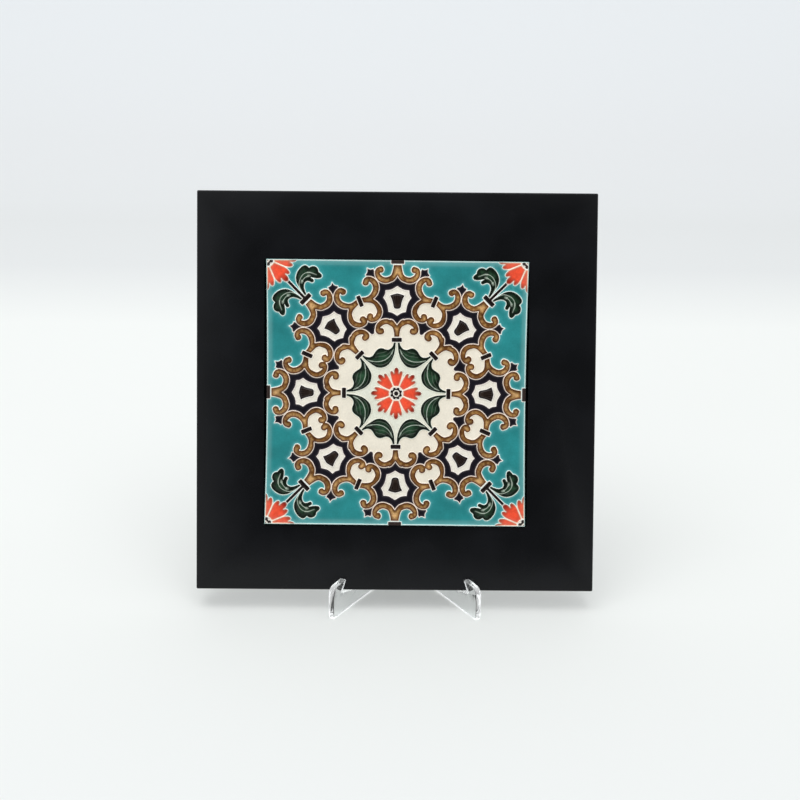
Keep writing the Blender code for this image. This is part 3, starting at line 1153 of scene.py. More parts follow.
    def chains(self, places: np.ndarray, links: dict[int, dict[int, float]]) -> list[list[int]]:
        """Follow the crest edges from one junction or corner to the next.

        Args:
            places: the points.
            links: each point's neighbours on the lines.

        Returns:
            Lists of point indices.
        """

        def ends_here(i: int) -> bool:
            """Tell where lines end.

            Args:
                i: a point.

            Returns:
                Whether they end there.
            """
            if len(links[i]) != 2:
                return True
            before, after = (Vector(places[j] - places[i]) for j in links[i])
            return math.pi - before.angle(after) > self.corner_turn

        stops = {i for i in links if ends_here(i)}
        used: set[tuple[int, int]] = set()
        found: list[list[int]] = []
        for start in list(stops) + list(links):
            for follower in links[start]:
                if (start, follower) in used:
                    continue
                chain = [start, follower]
                while chain[-1] not in stops and chain[-1] != start:
                    chain.append(next(i for i in links[chain[-1]] if i != chain[-2]))
                used.update(zip(chain, chain[1:]))
                used.update(zip(chain[1:], chain))
                found.append(chain)
        return found

    def evenly(self, line: Outline) -> Outline:
        """Spread a polyline's points evenly.

        Args:
            line: the points.

        Returns:
            Points about a spacing apart, the first and last kept.
        """
        points = np.array(line)
        along = np.concatenate([[0.0], np.cumsum(np.linalg.norm(np.diff(points, axis=0), axis=1))])
        count = max(1, round(float(along[-1]) / self.spacing))
        places = np.linspace(0.0, along[-1], count + 1)
        return list(zip(np.interp(places, along, points[:, 0]), np.interp(places, along, points[:, 1])))

    def seeds(self, crests: list[Crest]) -> tuple[list[Point], list[tuple[int, int]]]:
        """Choose the mesh's points and the edges that it must have.

        Args:
            crests: the ridges and the veins.

        Returns:
            The points, and the crest edges as pairs of their indices.
        """
        sieve = Sieve(self.sieve_cell)
        index: dict[tuple[int, int], int] = {}
        seeds: list[Point] = []
        links: list[tuple[int, int]] = []
        keys_per_mm = 2000
        for crest in crests:
            kept = []
            for x, y in crest.line:
                key = (round(x * keys_per_mm), round(y * keys_per_mm))
                if key not in index:
                    index[key] = len(seeds)
                    seeds.append((float(x), float(y)))
                    sieve.keep(seeds[-1], 0.0)
                kept.append(index[key])
            links += [(a, b) for a, b in zip(kept, kept[1:]) if a != b]
        ridges, veins = segments(crests, False), segments(crests, True)

        def clear_by(points: np.ndarray) -> np.ndarray:
            """Each point's distance to the nearest ridge's or vein's side."""
            return np.minimum(clearance(points, ridges)[0], clearance(points, veins)[0])

        def keep(points: Iterable[Point], gap: float) -> None:
            """Add the points that are clear of all others by a gap."""
            seeds.extend((float(x), float(y)) for x, y in points if sieve.keep((float(x), float(y)), gap))

        border = self.border()
        middle, half_width = self.flank
        for i, (point, gap) in enumerate(zip(border, clear_by(np.array(border)))):
            near = gap < self.ridge_reach and abs(gap - middle) > half_width
            if near or i < 3 or i % 4 == 0:
                keep([point], self.border_gap)
        for inset in self.edge_rows:
            y = self.half - inset
            row = np.arange(self.spacing / 2, y - self.spacing / 2, self.spacing)
            keep([(x, y) for x in row], self.edge_gap)
        slack = 0.015
        for extra, gap in zip(self.rows, self.row_gaps):
            points = self.beside(crests, extra)
            kept = self.in_wedge(points, self.border_band) & (clear_by(points) > extra - slack)
            kept &= points[:, 1] < self.half - self.edge_round - 0.02
            keep(points[kept], gap)
        margin, clear = self.grid_margins
        lattice = self.lattice()
        kept = self.in_wedge(lattice, margin) & (clear_by(lattice) > self.rows[-1] + clear)
        keep(lattice[kept], self.grid_gap)
        return seeds, links

    @staticmethod
    def beside(crests: list[Crest], extra: float) -> np.ndarray:
        """Points on both sides of every line and round its ends.

        Args:
            crests: the ridges and the veins.
            extra: the points' distance from the ridge's side.

        Returns:
            One point a row.
        """
        fan = [(math.cos(math.radians(a)), math.sin(math.radians(a))) for a in range(0, 360, 45)]
        spots: list[Point] = []
        for crest in crests:
            points, widths = np.array(crest.line), crest.widths
            whole = len(points) > 2
            ahead = np.gradient(points, axis=0) if whole else np.tile(points[-1] - points[0], (2, 1))
            normals = np.stack([-ahead[:, 1], ahead[:, 0]], axis=1)
            normals /= np.linalg.norm(normals, axis=1)[:, None]
            for point, normal, width in zip(points, normals, widths):
                spots += [point - normal * (width + extra), point + normal * (width + extra)]
            for end in (0, -1):
                reach = widths[end] + extra
                spots += [(points[end][0] + x * reach, points[end][1] + y * reach) for x, y in fan]
        return np.array(spots)

    def lattice(self) -> np.ndarray:
        """Lay a triangular grid over the wedge.

        Returns:
            Its points.
        """
        rise = math.sqrt(0.75)
        rows, columns = int(self.half / self.grid * 1.2) + 1, int(self.half / self.grid) + 1
        return np.array([
            (column * self.grid + (row % 2) * self.grid / 2, row * self.grid * rise)
            for row in range(rows)
            for column in range(columns)
        ])

    def border(self) -> Outline:
        """Space points along the wedge's three sides.

        Returns:
            The points, the corners first.
        """
        half, count = self.half, round(self.half / self.border_spacing)
        corners = [(0.0, 0.0), (0.0, half), (half, half)]
        side = [half * i / count for i in range(1, count)]
        diagonal = round(count * math.sqrt(2.0))
        slant = [half * i / diagonal for i in range(1, diagonal)]
        top = np.arange(self.spacing / 2, half - self.spacing / 4, self.spacing)
        return corners + [(0.0, y) for y in side] + [(s, s) for s in slant] + [(float(x), half) for x in top]

    def mesh(self, seeds: list[Point], links: list[tuple[int, int]]) -> None:
        """Join the points into triangles and give each cell its glaze.

        Args:
            seeds: the points.
            links: the crest edges.
        """
        near = 2e-3
        snapped = []
        for x, y in seeds:
            x = 0.0 if abs(x) < near else x
            middle = (x + y) / 2
            snapped.append((middle, middle) if abs(x - y) < near else (x, y))
        within = [i for i, (x, y) in enumerate(snapped) if x >= 0.0 and y <= self.half and y >= x]
        renumbered = {old: new for new, old in enumerate(within)}
        points = [snapped[i] for i in within]
        crest = [(renumbered[a], renumbered[b]) for a, b in links if a in renumbered and b in renumbered]
        on_side = sorted((i for i, p in enumerate(points) if p[0] == 0.0), key=lambda i: points[i][1])
        on_slant = sorted((i for i, p in enumerate(points) if p[0] == p[1]), key=lambda i: points[i][0])
        on_top = sorted((i for i, p in enumerate(points) if p[1] == self.half), key=lambda i: points[i][0])
        frame_edges = [pair for run in (on_side, on_slant, on_top) for pair in zip(run, run[1:])]
        places, edges, faces, _, origins, _ = delaunay_2d_cdt(
            [Vector(p) for p in points], crest + frame_edges, [], 0, 1e-5
        )
        self.points = np.array([tuple(p) for p in places])
        triangles = np.array([face for face in faces if len(face) == 3])
        area = areas(self.points, triangles)
        middles = self.points[triangles].mean(axis=1)
        least_area = 1e-6
        kept = (area > least_area) & self.in_wedge(middles)
        triangles, area, middles = triangles[kept], area[kept], middles[kept]
        on_crest = [any(i < len(crest) for i in ids) for ids in origins]
        barrier = {tuple(sorted(edge)) for edge, crest_edge in zip(edges, on_crest) if crest_edge}
        owners = side_owners(triangles)
        joined = [both for side, both in owners.items() if len(both) == 2 and side not in barrier]
        group = grouped(len(triangles), joined)
        glaze = np.array([self.shapes[i].glaze.value for i in self.labels(middles)])
        self.glazes = np.empty(len(triangles), int)
        for cell in np.unique(group):
            members = group == cell
            self.glazes[members] = np.bincount(glaze[members], area[members]).argmax()
        self.triangles = triangles

    def lift(self, crests: list[Crest]) -> None:
        """Give each point its height and its distance from the ridges.

        Args:
            crests: the ridges and the veins.
        """
        gap, half_width = clearance(self.points, segments(crests, False))
        vein_gap, vein_width = clearance(self.points, segments(crests, True))
        pools = np.zeros((len(self.points), 3))
        weight = np.zeros(len(self.points))
        for glaze, pool in POOLS.items():
            corners = self.triangles[self.glazes == glaze.value].ravel()
            np.add.at(pools, corners, (pool.level, pool.dome, pool.reach))
            np.add.at(weight, corners, 1.0)
        level, dome, reach = (pools / np.maximum(weight, 1.0)[:, None]).T
        least_reach = 0.1
        base = level + dome * smoothstep(np.maximum(gap, 0.0) / np.maximum(reach, least_reach))
        beside = (self.foot_height - level) * np.exp(-np.maximum(gap, 0.0) / self.run_off)
        across_ridge = np.clip((gap + half_width) / half_width, 0.0, 1.0)
        ridge = (self.crest_height - self.foot_height) * (1.0 - across_ridge**2)
        heights = base + beside + ridge
        across_vein = np.clip((vein_gap + vein_width) / vein_width, 0.0, 2.0)
        self.vein = np.clip(1.0 - across_vein, 0.0, 1.0) * np.clip(vein_width / self.full_vein, 0.0, 1.0)
        heights += self.vein_rise * self.vein
        drop = np.clip(self.points[:, 1] - (self.half - self.edge_round), 0.0, self.edge_round)
        heights -= self.edge_round - np.sqrt(self.edge_round**2 - drop**2)
        self.heights = heights
        self.depth = np.maximum(gap + RIDGE, 0.0)
        # how far each point lies in the band along the tile's border where the glaze turns paler
        self.border_pale = smoothstep((self.border_reach - self.half + self.points[:, 1]) / self.border_fall)

    def whole(self) -> tuple[np.ndarray, np.ndarray, np.ndarray, dict[str, np.ndarray]]:
        """Copy the wedge to all eight eighths and join them.

        Returns:
            The points with their heights, the triangles, their glazes, and the points' attributes.
        """
        turns = [(1, 0, 0, 1), (0, 1, 1, 0), (0, 1, -1, 0), (1, 0, 0, -1), (-1, 0, 0, -1), (0, -1, -1, 0),
                 (0, -1, 1, 0), (-1, 0, 0, 1)]
        points, triangles = [], []
        for step, (xx, xy, yx, yy) in enumerate(turns):
            matrix = np.array([[xx, xy], [yx, yy]], float)
            points.append(self.points @ matrix.T)
            flipped = self.triangles[:, ::-1] if np.linalg.det(matrix) < 0 else self.triangles
            triangles.append(flipped + step * len(self.points))
        flat = np.concatenate(points)
        keys_per_mm = 1e4
        keys = np.round(flat * keys_per_mm).astype(np.int64)
        _, first, joined = np.unique(keys, axis=0, return_index=True, return_inverse=True)
        faces = joined.ravel()[np.concatenate(triangles)]
        eighth = first % len(self.points)
        places = np.column_stack([flat[first], self.heights[eighth]])
        values = {"depth": self.depth[eighth], "vein": self.vein[eighth], "border_pale": self.border_pale[eighth]}
        from_middle, from_corner = np.hypot(*self.points.T), np.hypot(*(self.points - self.half).T)
        values["petal"] = np.minimum(from_middle, from_corner / self.drawing.corner_flower_scale)[eighth]
        return places, faces, np.tile(self.glazes, len(turns)), values


# --- finishes ------------------------------------------------------------------------------------------


@dataclass
class Face:
    """The leaning face of the board: its origin in the middle, x to the right, y up the face, z outward."""

    lean: float = math.radians(18.0)
    thickness: float = 12.7

    def place(self) -> Matrix:
        """Find the face from the board's box.

        Returns:
            The frame at its middle, with z outwards and y up.
        """
        low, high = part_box("board")
        outward = Vector((0.0, -math.cos(self.lean), math.sin(self.lean)))
        middle = (low + high) / 2 + outward * self.thickness / 2 * MM
        return Matrix.Translation(middle) @ Matrix.Rotation(math.pi / 2 - self.lean, 4, "X")


@dataclass(frozen=True)
class GlazeFinish:
    """Fired lead-tin glaze, pooled in a moulded cell.

    The ridge stays bare and pale, the glaze is shallow beside it and changes with its depth, and small
    clouds and specks of oxide drift in it. Where a glaze has a run, its colour carries a painted highlight
    and shade: lighter on slopes that face down, darker on slopes that face up. Every glaze turns paler
    towards the tile's border. Depths in mm run from the ridge's crest.

    Attributes:
        name: the material's name.
        stops: depth and colour pairs.
        cloud: how much the clouds shift the depth, mm.
        mottle: how strongly the clouds lighten or darken the colour.
        cloud_size: the clouds' size, mm.
        speck: how strongly fine specks show.
        speck_size: the specks' size, mm.
        run: painted highlight and shade, lighter on slopes that face down and darker on those that face up.
        border_pale: how far the colour turns towards the glaze's pale second colour near the tile's border.
        roughness: the glaze's roughness.
        gloss: the specular level.
        ripple: the height of the ripples in the fired surface, mm.
        full_depth: the depth at the end of the colour ramp, mm.
        vein: the colour of raised veins, if there are any.
        tip: the colour of a petal's tips, if it has them.
        tip_reach: where the tips begin and end, mm from the flower's middle, and how strong they get.
    """

    name: str
    stops: tuple[tuple[float, str], ...]
    cloud: float = 0.25
    mottle: float = 0.12
    cloud_size: float = 7.0
    speck: float = 0.05
    speck_size: float = 0.9
    run: float = 0.0
    border_pale: float = 0.15
    roughness: float = 0.09
    gloss: float = 0.5
    ripple: float = 0.03
    full_depth: float = 5.0
    vein: str = ""
    tip: str = ""
    tip_reach: tuple[float, float, float] = (10.3, 13.6, 0.85)

    def make(self) -> bpy.types.Material:
        """Make the material.

        Returns:
            The new material.
        """
        material, tree, shader = new_material(self.name)
        place = add_node(tree, "ShaderNodeTexCoord").outputs["Object"]
        noise = {"Vector": place, "Scale": 1.0 / (self.cloud_size * MM), "Detail": 3.0, "Roughness": 0.6}
        clouds = add_node(tree, "ShaderNodeTexNoise", noise).outputs["Fac"]
        noise = {"Vector": place, "Scale": 1.0 / (self.speck_size * MM), "Detail": 2.0, "Roughness": 0.5}
        specks = add_node(tree, "ShaderNodeTexNoise", noise).outputs["Fac"]
        ramp = add_node(tree, "ShaderNodeValToRGB", {"Fac": self.depth(tree, clouds)})
        set_stops(ramp, [(depth / self.full_depth, colour) for depth, colour in self.stops])
        value = self.value(tree, clouds, specks)
        hue = {"Value": value, "Color": ramp.outputs["Color"]}
        colour = add_node(tree, "ShaderNodeHueSaturation", hue).outputs["Color"]
        if self.tip:
            colour = self.tipped(tree, colour)
        # near the tile's border the colour turns towards the glaze's pale second colour
        border = add_node(tree, "ShaderNodeAttribute", attribute_name="border_pale").outputs["Fac"]
        through = add_node(tree, "ShaderNodeMath", {0: border, 1: self.border_pale}, operation="MULTIPLY")
        pale = {"Factor": through.outputs[0], "A": colour, "B": linear(self.stops[1][1])}
        colour = add_node(tree, "ShaderNodeMix", pale, data_type="RGBA").outputs["Result"]
        if self.vein:
            crest = add_node(tree, "ShaderNodeAttribute", attribute_name="vein").outputs["Fac"]
            marked = {"Factor": crest, "A": colour, "B": linear(self.vein)}
            colour = add_node(tree, "ShaderNodeMix", marked, data_type="RGBA").outputs["Result"]
        tree.links.new(colour, shader.inputs["Base Color"])
        shader.inputs["Roughness"].default_value = self.roughness
        shader.inputs["IOR"].default_value = 1.52
        shader.inputs["Specular IOR Level"].default_value = self.gloss
        ripple = {"Height": specks, "Strength": 0.15, "Distance": self.ripple * MM}
        bump = add_node(tree, "ShaderNodeBump", ripple)
        tree.links.new(bump.outputs["Normal"], shader.inputs["Normal"])
        return material

    def depth(self, tree: bpy.types.NodeTree, clouds: bpy.types.NodeSocket) -> bpy.types.NodeSocket:
        """The depth under the crest, shifted by the clouds, as a share of the full depth.

        Args:
            tree: the node tree.
            clouds: the clouds' output.

        Returns:
            The output that drives the colour ramp.
        """
        depth = add_node(tree, "ShaderNodeAttribute", attribute_name="depth").outputs["Fac"]
        spread = {"Value": clouds, "From Min": 0.3, "From Max": 0.7}
        spread |= {"To Min": -self.cloud, "To Max": self.cloud}
        drift = add_node(tree, "ShaderNodeMapRange", spread, clamp=False).outputs["Result"]
        # the drift grows from the ridge's foot, so the ridge itself stays even
        fade = add_node(tree, "ShaderNodeMapRange", {"Value": depth, "From Min": RIDGE, "From Max": 1.0})
        shifted = add_node(
            tree, "ShaderNodeMath", {0: drift, 1: fade.outputs["Result"], 2: depth}, operation="MULTIPLY_ADD"
        )
        share = {0: shifted.outputs[0], 1: 1.0 / self.full_depth}
        return add_node(tree, "ShaderNodeMath", share, operation="MULTIPLY").outputs[0]

    def value(
        self, tree: bpy.types.NodeTree, clouds: bpy.types.NodeSocket, specks: bpy.types.NodeSocket
    ) -> bpy.types.NodeSocket:
        """How light the glaze is, from its clouds, its specks and a painted highlight and shade by slope.

        Args:
            tree: the node tree.
            clouds: the clouds' output.
            specks: the specks' output.

        Returns:
            The output for the colour's value.
        """
        up_the_face = (0.0, math.sin(Face.lean), math.cos(Face.lean))
        normal = add_node(tree, "ShaderNodeTexCoord").outputs["Normal"]
        slope = add_node(tree, "ShaderNodeVectorMath", {0: normal, 1: up_the_face}, operation="DOT_PRODUCT")
        parts = []
        for source, low, high, change, clamp in (
            (clouds, 0.3, 0.7, self.mottle, False),
            (specks, 0.35, 0.65, self.speck, True),
            # painted highlight and shade: lighter where the slope faces down, darker where it faces up
            (slope.outputs["Value"], -0.18, 0.18, -self.run, True),
        ):
            spread = {"Value": source, "From Min": low, "From Max": high}
            spread |= {"To Min": 1.0 - change, "To Max": 1.0 + change}
            parts.append(add_node(tree, "ShaderNodeMapRange", spread, clamp=clamp).outputs["Result"])
        mottled = add_node(tree, "ShaderNodeMath", {0: parts[0], 1: parts[1]}, operation="MULTIPLY")
        return add_node(
            tree, "ShaderNodeMath", {0: mottled.outputs[0], 1: parts[2]}, operation="MULTIPLY"
        ).outputs[0]

    def tipped(self, tree: bpy.types.NodeTree, colour: bpy.types.NodeSocket) -> bpy.types.NodeSocket:
        """Darken the petals' tips.

        Args:
            tree: the node tree.
            colour: the glaze's colour.

        Returns:
            The colour with the tips.
        """
        near, far, strength = self.tip_reach
        along = add_node(tree, "ShaderNodeAttribute", attribute_name="petal").outputs["Fac"]
        spread = {"Value": along, "From Min": near, "From Max": far, "To Max": strength}
        dark = add_node(tree, "ShaderNodeMapRange", spread).outputs["Result"]
        both = {"Factor": 1.0, "A": colour, "B": linear(self.tip)}
        shade = add_node(tree, "ShaderNodeMix", both, data_type="RGBA", blend_type="MULTIPLY")
        mix = {"Factor": dark, "A": colour, "B": shade.outputs["Result"]}
        return add_node(tree, "ShaderNodeMix", mix, data_type="RGBA").outputs["Result"]


GLAZES = {
    Glaze.TEAL: GlazeFinish(
        "copper_blue_green_glaze",
        ((0.18, "#f0faf6"), (0.25, "#b4dfd9"), (0.33, "#5fabad"), (0.75, "#479a9c"), (1.5, "#358b8e"),
         (3.0, "#2b8688")),
        cloud_size=16.0,
        mottle=0.16,
        speck=0.04,
    ),
    # the darker stop past the ridge's foot is painted shade in the groove there, with glaze pooled in it
    Glaze.CREAM: GlazeFinish(
        "tin_white_glaze",
        ((0.2, "#fcf6ea"), (0.29, "#f3e9d8"), (0.37, "#e0d4be"), (0.62, "#f3ead6"), (1.1, "#f1e9d8")),
        mottle=0.04,
        speck=0.03,
    ),
    # the darker stop past the ridge's foot is painted shade in the groove there, with glaze pooled in it
    Glaze.CELADON: GlazeFinish(
        "pale_green_white_glaze",
        ((0.2, "#fcf7ea"), (0.29, "#eeeada"), (0.37, "#cdcebb"), (0.62, "#e9e8d6"), (1.1, "#e8e9da")),
        mottle=0.05,
    ),
    Glaze.NAVY: GlazeFinish(
        "cobalt_black_glaze",
        ((0.19, "#f0e2d8"), (0.26, "#8a7274"), (0.33, "#241f27"), (1.5, "#1a181e"), (4.0, "#17161e")),
        gloss=0.25,
    ),
    Glaze.HONEY: GlazeFinish(
        "iron_honey_glaze",
        ((0.19, "#f6e3ca"), (0.26, "#a87a4c"), (0.34, "#451f0d"), (0.68, "#5f3517"), (1.0, "#7a5228"),
         (1.25, "#90693b"), (1.6, "#a57e4c"), (2.1, "#c99f6b")),
        cloud=0.2,
        mottle=0.3,
        cloud_size=5.0,
        speck=0.14,
        # a painted highlight and shade by which way the slope faces
        run=0.3,
    ),
    Glaze.BLACK: GlazeFinish(
        "manganese_black_glaze",
        ((0.16, "#f4efe6"), (0.22, "#6d5a52"), (0.3, "#1a1110"), (1.5, "#170f0d")),
        gloss=0.2,
        vein="#43372f",
    ),
    # the darker stop past the ridge's foot is painted shade in the groove there, with glaze pooled in it
    Glaze.SHIELD: GlazeFinish(
        "tin_grey_white_glaze",
        ((0.2, "#fcf8f0"), (0.3, "#eee7da"), (0.38, "#d6cebf"), (0.62, "#f1ebdd"), (1.2, "#f0eadc"),
         (1.9, "#e0dccf")),
        mottle=0.05,
    ),
    Glaze.GREEN: GlazeFinish(
        "copper_dark_green_glaze",
        ((0.1, "#e3eada"), (0.18, "#6d8070"), (0.26, "#101812"), (1.2, "#131e15"), (2.4, "#1c3021"),
         (4.2, "#2a4732")),
        cloud=0.6,
        mottle=0.4,
        cloud_size=3.0,
        speck=0.1,
        gloss=0.25,
        vein="#c2d0be",
    ),
    Glaze.CORAL: GlazeFinish(
        "cadmium_coral_glaze",
        ((0.24, "#fde9d4"), (0.36, "#efa888"), (0.55, "#e0765c"), (0.95, "#e5553e"), (1.8, "#f35538")),
        cloud_size=3.0,
        mottle=0.14,
        tip="#8a4a3c",
    ),
    # the pale crest is the tile's bare edge; the dark stops past it are painted shade on the rounded border
    # and the sides
    Glaze.RIM: GlazeFinish(
        "rim_glaze_with_painted_edge_shade",
        ((0.1, "#dcf1ec"), (0.3, "#a3cbc7"), (0.5, "#3f6f70"), (1.2, "#2c5556")),
        mottle=0.1,
    ),
}


@dataclass(frozen=True)
class SatinPaint:
    """Black alkyd paint rolled on fibreboard: a satin skin with a faint orange-peel. Sizes in mm."""

    name: str = "satin_black_paint"
    colour: str = "#0d0e10"
    light: str = "#121316"
    roughness: tuple[float, float] = (0.22, 0.27)
    peel_size: float = 1.2
    peel_height: float = 0.05
    patch_size: float = 30.0

    def make(self) -> bpy.types.Material:
        """Make the material.

        Returns:
            The new material.
        """
        material, tree, shader = new_material(self.name)
        place = add_node(tree, "ShaderNodeTexCoord").outputs["Object"]
        noise = {"Vector": place, "Scale": 1.0 / (self.peel_size * MM), "Detail": 2.0, "Roughness": 0.5}
        peel = add_node(tree, "ShaderNodeTexNoise", noise).outputs["Fac"]
        noise = {"Vector": place, "Scale": 1.0 / (self.patch_size * MM), "Detail": 2.0, "Roughness": 0.5}
        patches = add_node(tree, "ShaderNodeTexNoise", noise).outputs["Fac"]
        ramp = add_node(tree, "ShaderNodeValToRGB", {"Fac": patches})
        set_stops(ramp, [(0.35, self.colour), (0.7, self.light)])
        tree.links.new(ramp.outputs["Color"], shader.inputs["Base Color"])
        low, high = self.roughness
        spread = {"Value": patches, "From Min": 0.3, "From Max": 0.7, "To Min": low, "To Max": high}
        rough = add_node(tree, "ShaderNodeMapRange", spread)
        tree.links.new(rough.outputs["Result"], shader.inputs["Roughness"])
        shader.inputs["Specular IOR Level"].default_value = 0.2
        skin = {"Height": peel, "Strength": 0.25, "Distance": self.peel_height * MM}
        bump = add_node(tree, "ShaderNodeBump", skin)
        tree.links.new(bump.outputs["Normal"], shader.inputs["Normal"])
        return material


@dataclass(frozen=True)
class ClearAcrylic:
    """Cast acrylic sheet: clear faces, and laser-cut edges that look paler and give off a painted glow.

    Attributes:
        name: the material's name.
        scatter_and_glow: the share of light that a cut edge spreads, and the strength of its painted glow.
        roughness: the surface's roughness.
        ior: the index of refraction.
    """

    name: str
    scatter_and_glow: float = 0.0
    roughness: float = 0.02
    ior: float = 1.49

    def make(self) -> bpy.types.Material:
        """Make the material. Light from the lamps passes straight through, as it does through a slim sheet.

        Returns:
            The new material.
        """
        material, tree, shader = new_material(self.name)
        shader.inputs["Base Color"].default_value = linear("#fbfdfd")
        shader.inputs["Roughness"].default_value = self.roughness
        shader.inputs["IOR"].default_value = self.ior
        shader.inputs["Transmission Weight"].default_value = 1.0 - self.scatter_and_glow
        # painted glow: the cut edges give off light, though they are no lamp
        shader.inputs["Emission Color"].default_value = linear("#ffffff")
        shader.inputs["Emission Strength"].default_value = self.scatter_and_glow
        through = add_node(tree, "ShaderNodeBsdfTransparent", {"Color": linear("#eef2f2")})
        lamp = add_node(tree, "ShaderNodeLightPath").outputs["Is Shadow Ray"]
        ways = {0: lamp, 1: shader.outputs["BSDF"], 2: through.outputs["BSDF"]}
        mix = add_node(tree, "ShaderNodeMixShader", ways)
        tree.links.new(mix.outputs["Shader"], tree.nodes["Material Output"].inputs["Surface"])
        return material


@dataclass(frozen=True)
class MattPaper:
    """Matt white background paper, with painted light and shade that change a little with the distance.

    Attributes:
        name: the material's name.
        tones: distance behind the object, mm, and colour pairs, which paint the light and shade.
        glow: how much of the colour the paper gives off by itself.
    """

    name: str = "matt_background_paper"
    tones: tuple[tuple[float, str], ...] = (
        (-200.0, "#c3c5c4"), (-46.0, "#c5c7c5"), (100.0, "#c9cbc9"), (300.0, "#caccca"), (500.0, "#cccecc"),
        (700.0, "#c2c4c4"), (900.0, "#c2c4c4"), (1180.0, "#c8cacb"), (1330.0, "#cdd0d2"),
    )
    glow: float = 0.5

    def make(self) -> bpy.types.Material:
        """Make the material.

        Returns:
            The new material.
        """
        material, tree, shader = new_material(self.name)
        first, last = self.tones[0][0], self.tones[-1][0]
        place = add_node(tree, "ShaderNodeTexCoord").outputs["Object"]
        back = add_node(tree, "ShaderNodeSeparateXYZ", {0: place}).outputs["Y"]
        spread = {"Value": back, "From Min": first * MM, "From Max": last * MM}
        share = add_node(tree, "ShaderNodeMapRange", spread)
        ramp = add_node(tree, "ShaderNodeValToRGB", {"Fac": share.outputs["Result"]})
        set_stops(ramp, [((distance - first) / (last - first), colour) for distance, colour in self.tones])
        tree.links.new(ramp.outputs["Color"], shader.inputs["Base Color"])
        tree.links.new(ramp.outputs["Color"], shader.inputs["Emission Color"])
        shader.inputs["Emission Strength"].default_value = self.glow
        shader.inputs["Roughness"].default_value = 0.9
        shader.inputs["Specular IOR Level"].default_value = 0.1
        return material


# --- the object ------------------------------------------------------------------------------------------


def rounded_corner(before: Point, corner: Point, after: Point, radius: float) -> Outline:
    """Round a corner of an outline.

    Args:
        before: the point before the corner.
        corner: the sharp corner.
        after: the point after it.
        radius: the rounding's radius.

    Returns:
        The arc's points.
    """
    steps = 8
    to_before = (Vector(before) - Vector(corner)).normalized()
    to_after = (Vector(after) - Vector(corner)).normalized()
    half = to_before.angle(to_after) / 2
    centre = Vector(corner) + (to_before + to_after).normalized() * radius / math.sin(half)
    first = Vector(corner) + to_before * radius / math.tan(half) - centre
    last = Vector(corner) + to_after * radius / math.tan(half) - centre
    turn = last.angle_signed(first)
    return [tuple(centre + Matrix.Rotation(turn * i / steps, 2) @ first) for i in range(steps + 1)]


@dataclass
class Board:
    """The square black board with the pocket that the tile is set in. Sizes in mm."""

    face: Face
    side: float = 228.6
    edge_round: float = 0.8
    pocket: tuple[float, float] = (151.4, 152.8)
    pocket_depth: float = 7.1
    pocket_drop: float = 0.6
    pocket_round: float = 0.25

    def build(self) -> bpy.types.Object:
        """Model the board.

        Returns:
            The board.
        """
        thickness = self.face.thickness
        deselect()
        bpy.ops.mesh.primitive_cube_add(size=1.0, location=(0.0, 0.0, -thickness / 2 * MM))
        board = bpy.context.object
        board.name = board.data.name = "board_painted"
        board.scale = (self.side * MM, self.side * MM, thickness * MM)
        bpy.ops.object.transform_apply(location=True, rotation=True, scale=True)
        bpy.ops.object.mode_set(mode="EDIT")
        select_faces(board, lambda face: face.normal.z > 0.9)
        width, height = self.pocket
        bpy.ops.mesh.inset(thickness=(self.side - width) / 2 * MM)
        bpy.ops.transform.resize(value=(1.0, height / width, 1.0))
        bpy.ops.transform.translate(value=(0.0, -self.pocket_drop * MM, 0.0))
        down = {"value": (0.0, 0.0, -self.pocket_depth * MM)}
        bpy.ops.mesh.extrude_region_move(TRANSFORM_OT_translate=down)
        outside = self.side / 2 * MM * 0.999
        select_edges(board, lambda p: max(abs(p.x), abs(p.y)) > outside)
        bpy.ops.mesh.bevel(offset=self.edge_round * MM, segments=4)
        inside_rim, just_under = (height / 2 + 1.0) * MM, -0.01 * MM
        select_edges(board, lambda p: max(abs(p.x), abs(p.y)) < inside_rim and p.z > just_under)
        bpy.ops.mesh.bevel(offset=self.pocket_round * MM, segments=2)
        bpy.ops.object.mode_set(mode="OBJECT")
        bpy.ops.object.shade_smooth_by_angle(angle=math.radians(35.0))
        settle(board, self.face.place())
        return board

    @staticmethod
    def dress(board: bpy.types.Object) -> None:
        """Paint the board and say what it stands for."""
        board.data.materials.append(SatinPaint().make())
        dress(board, "board")


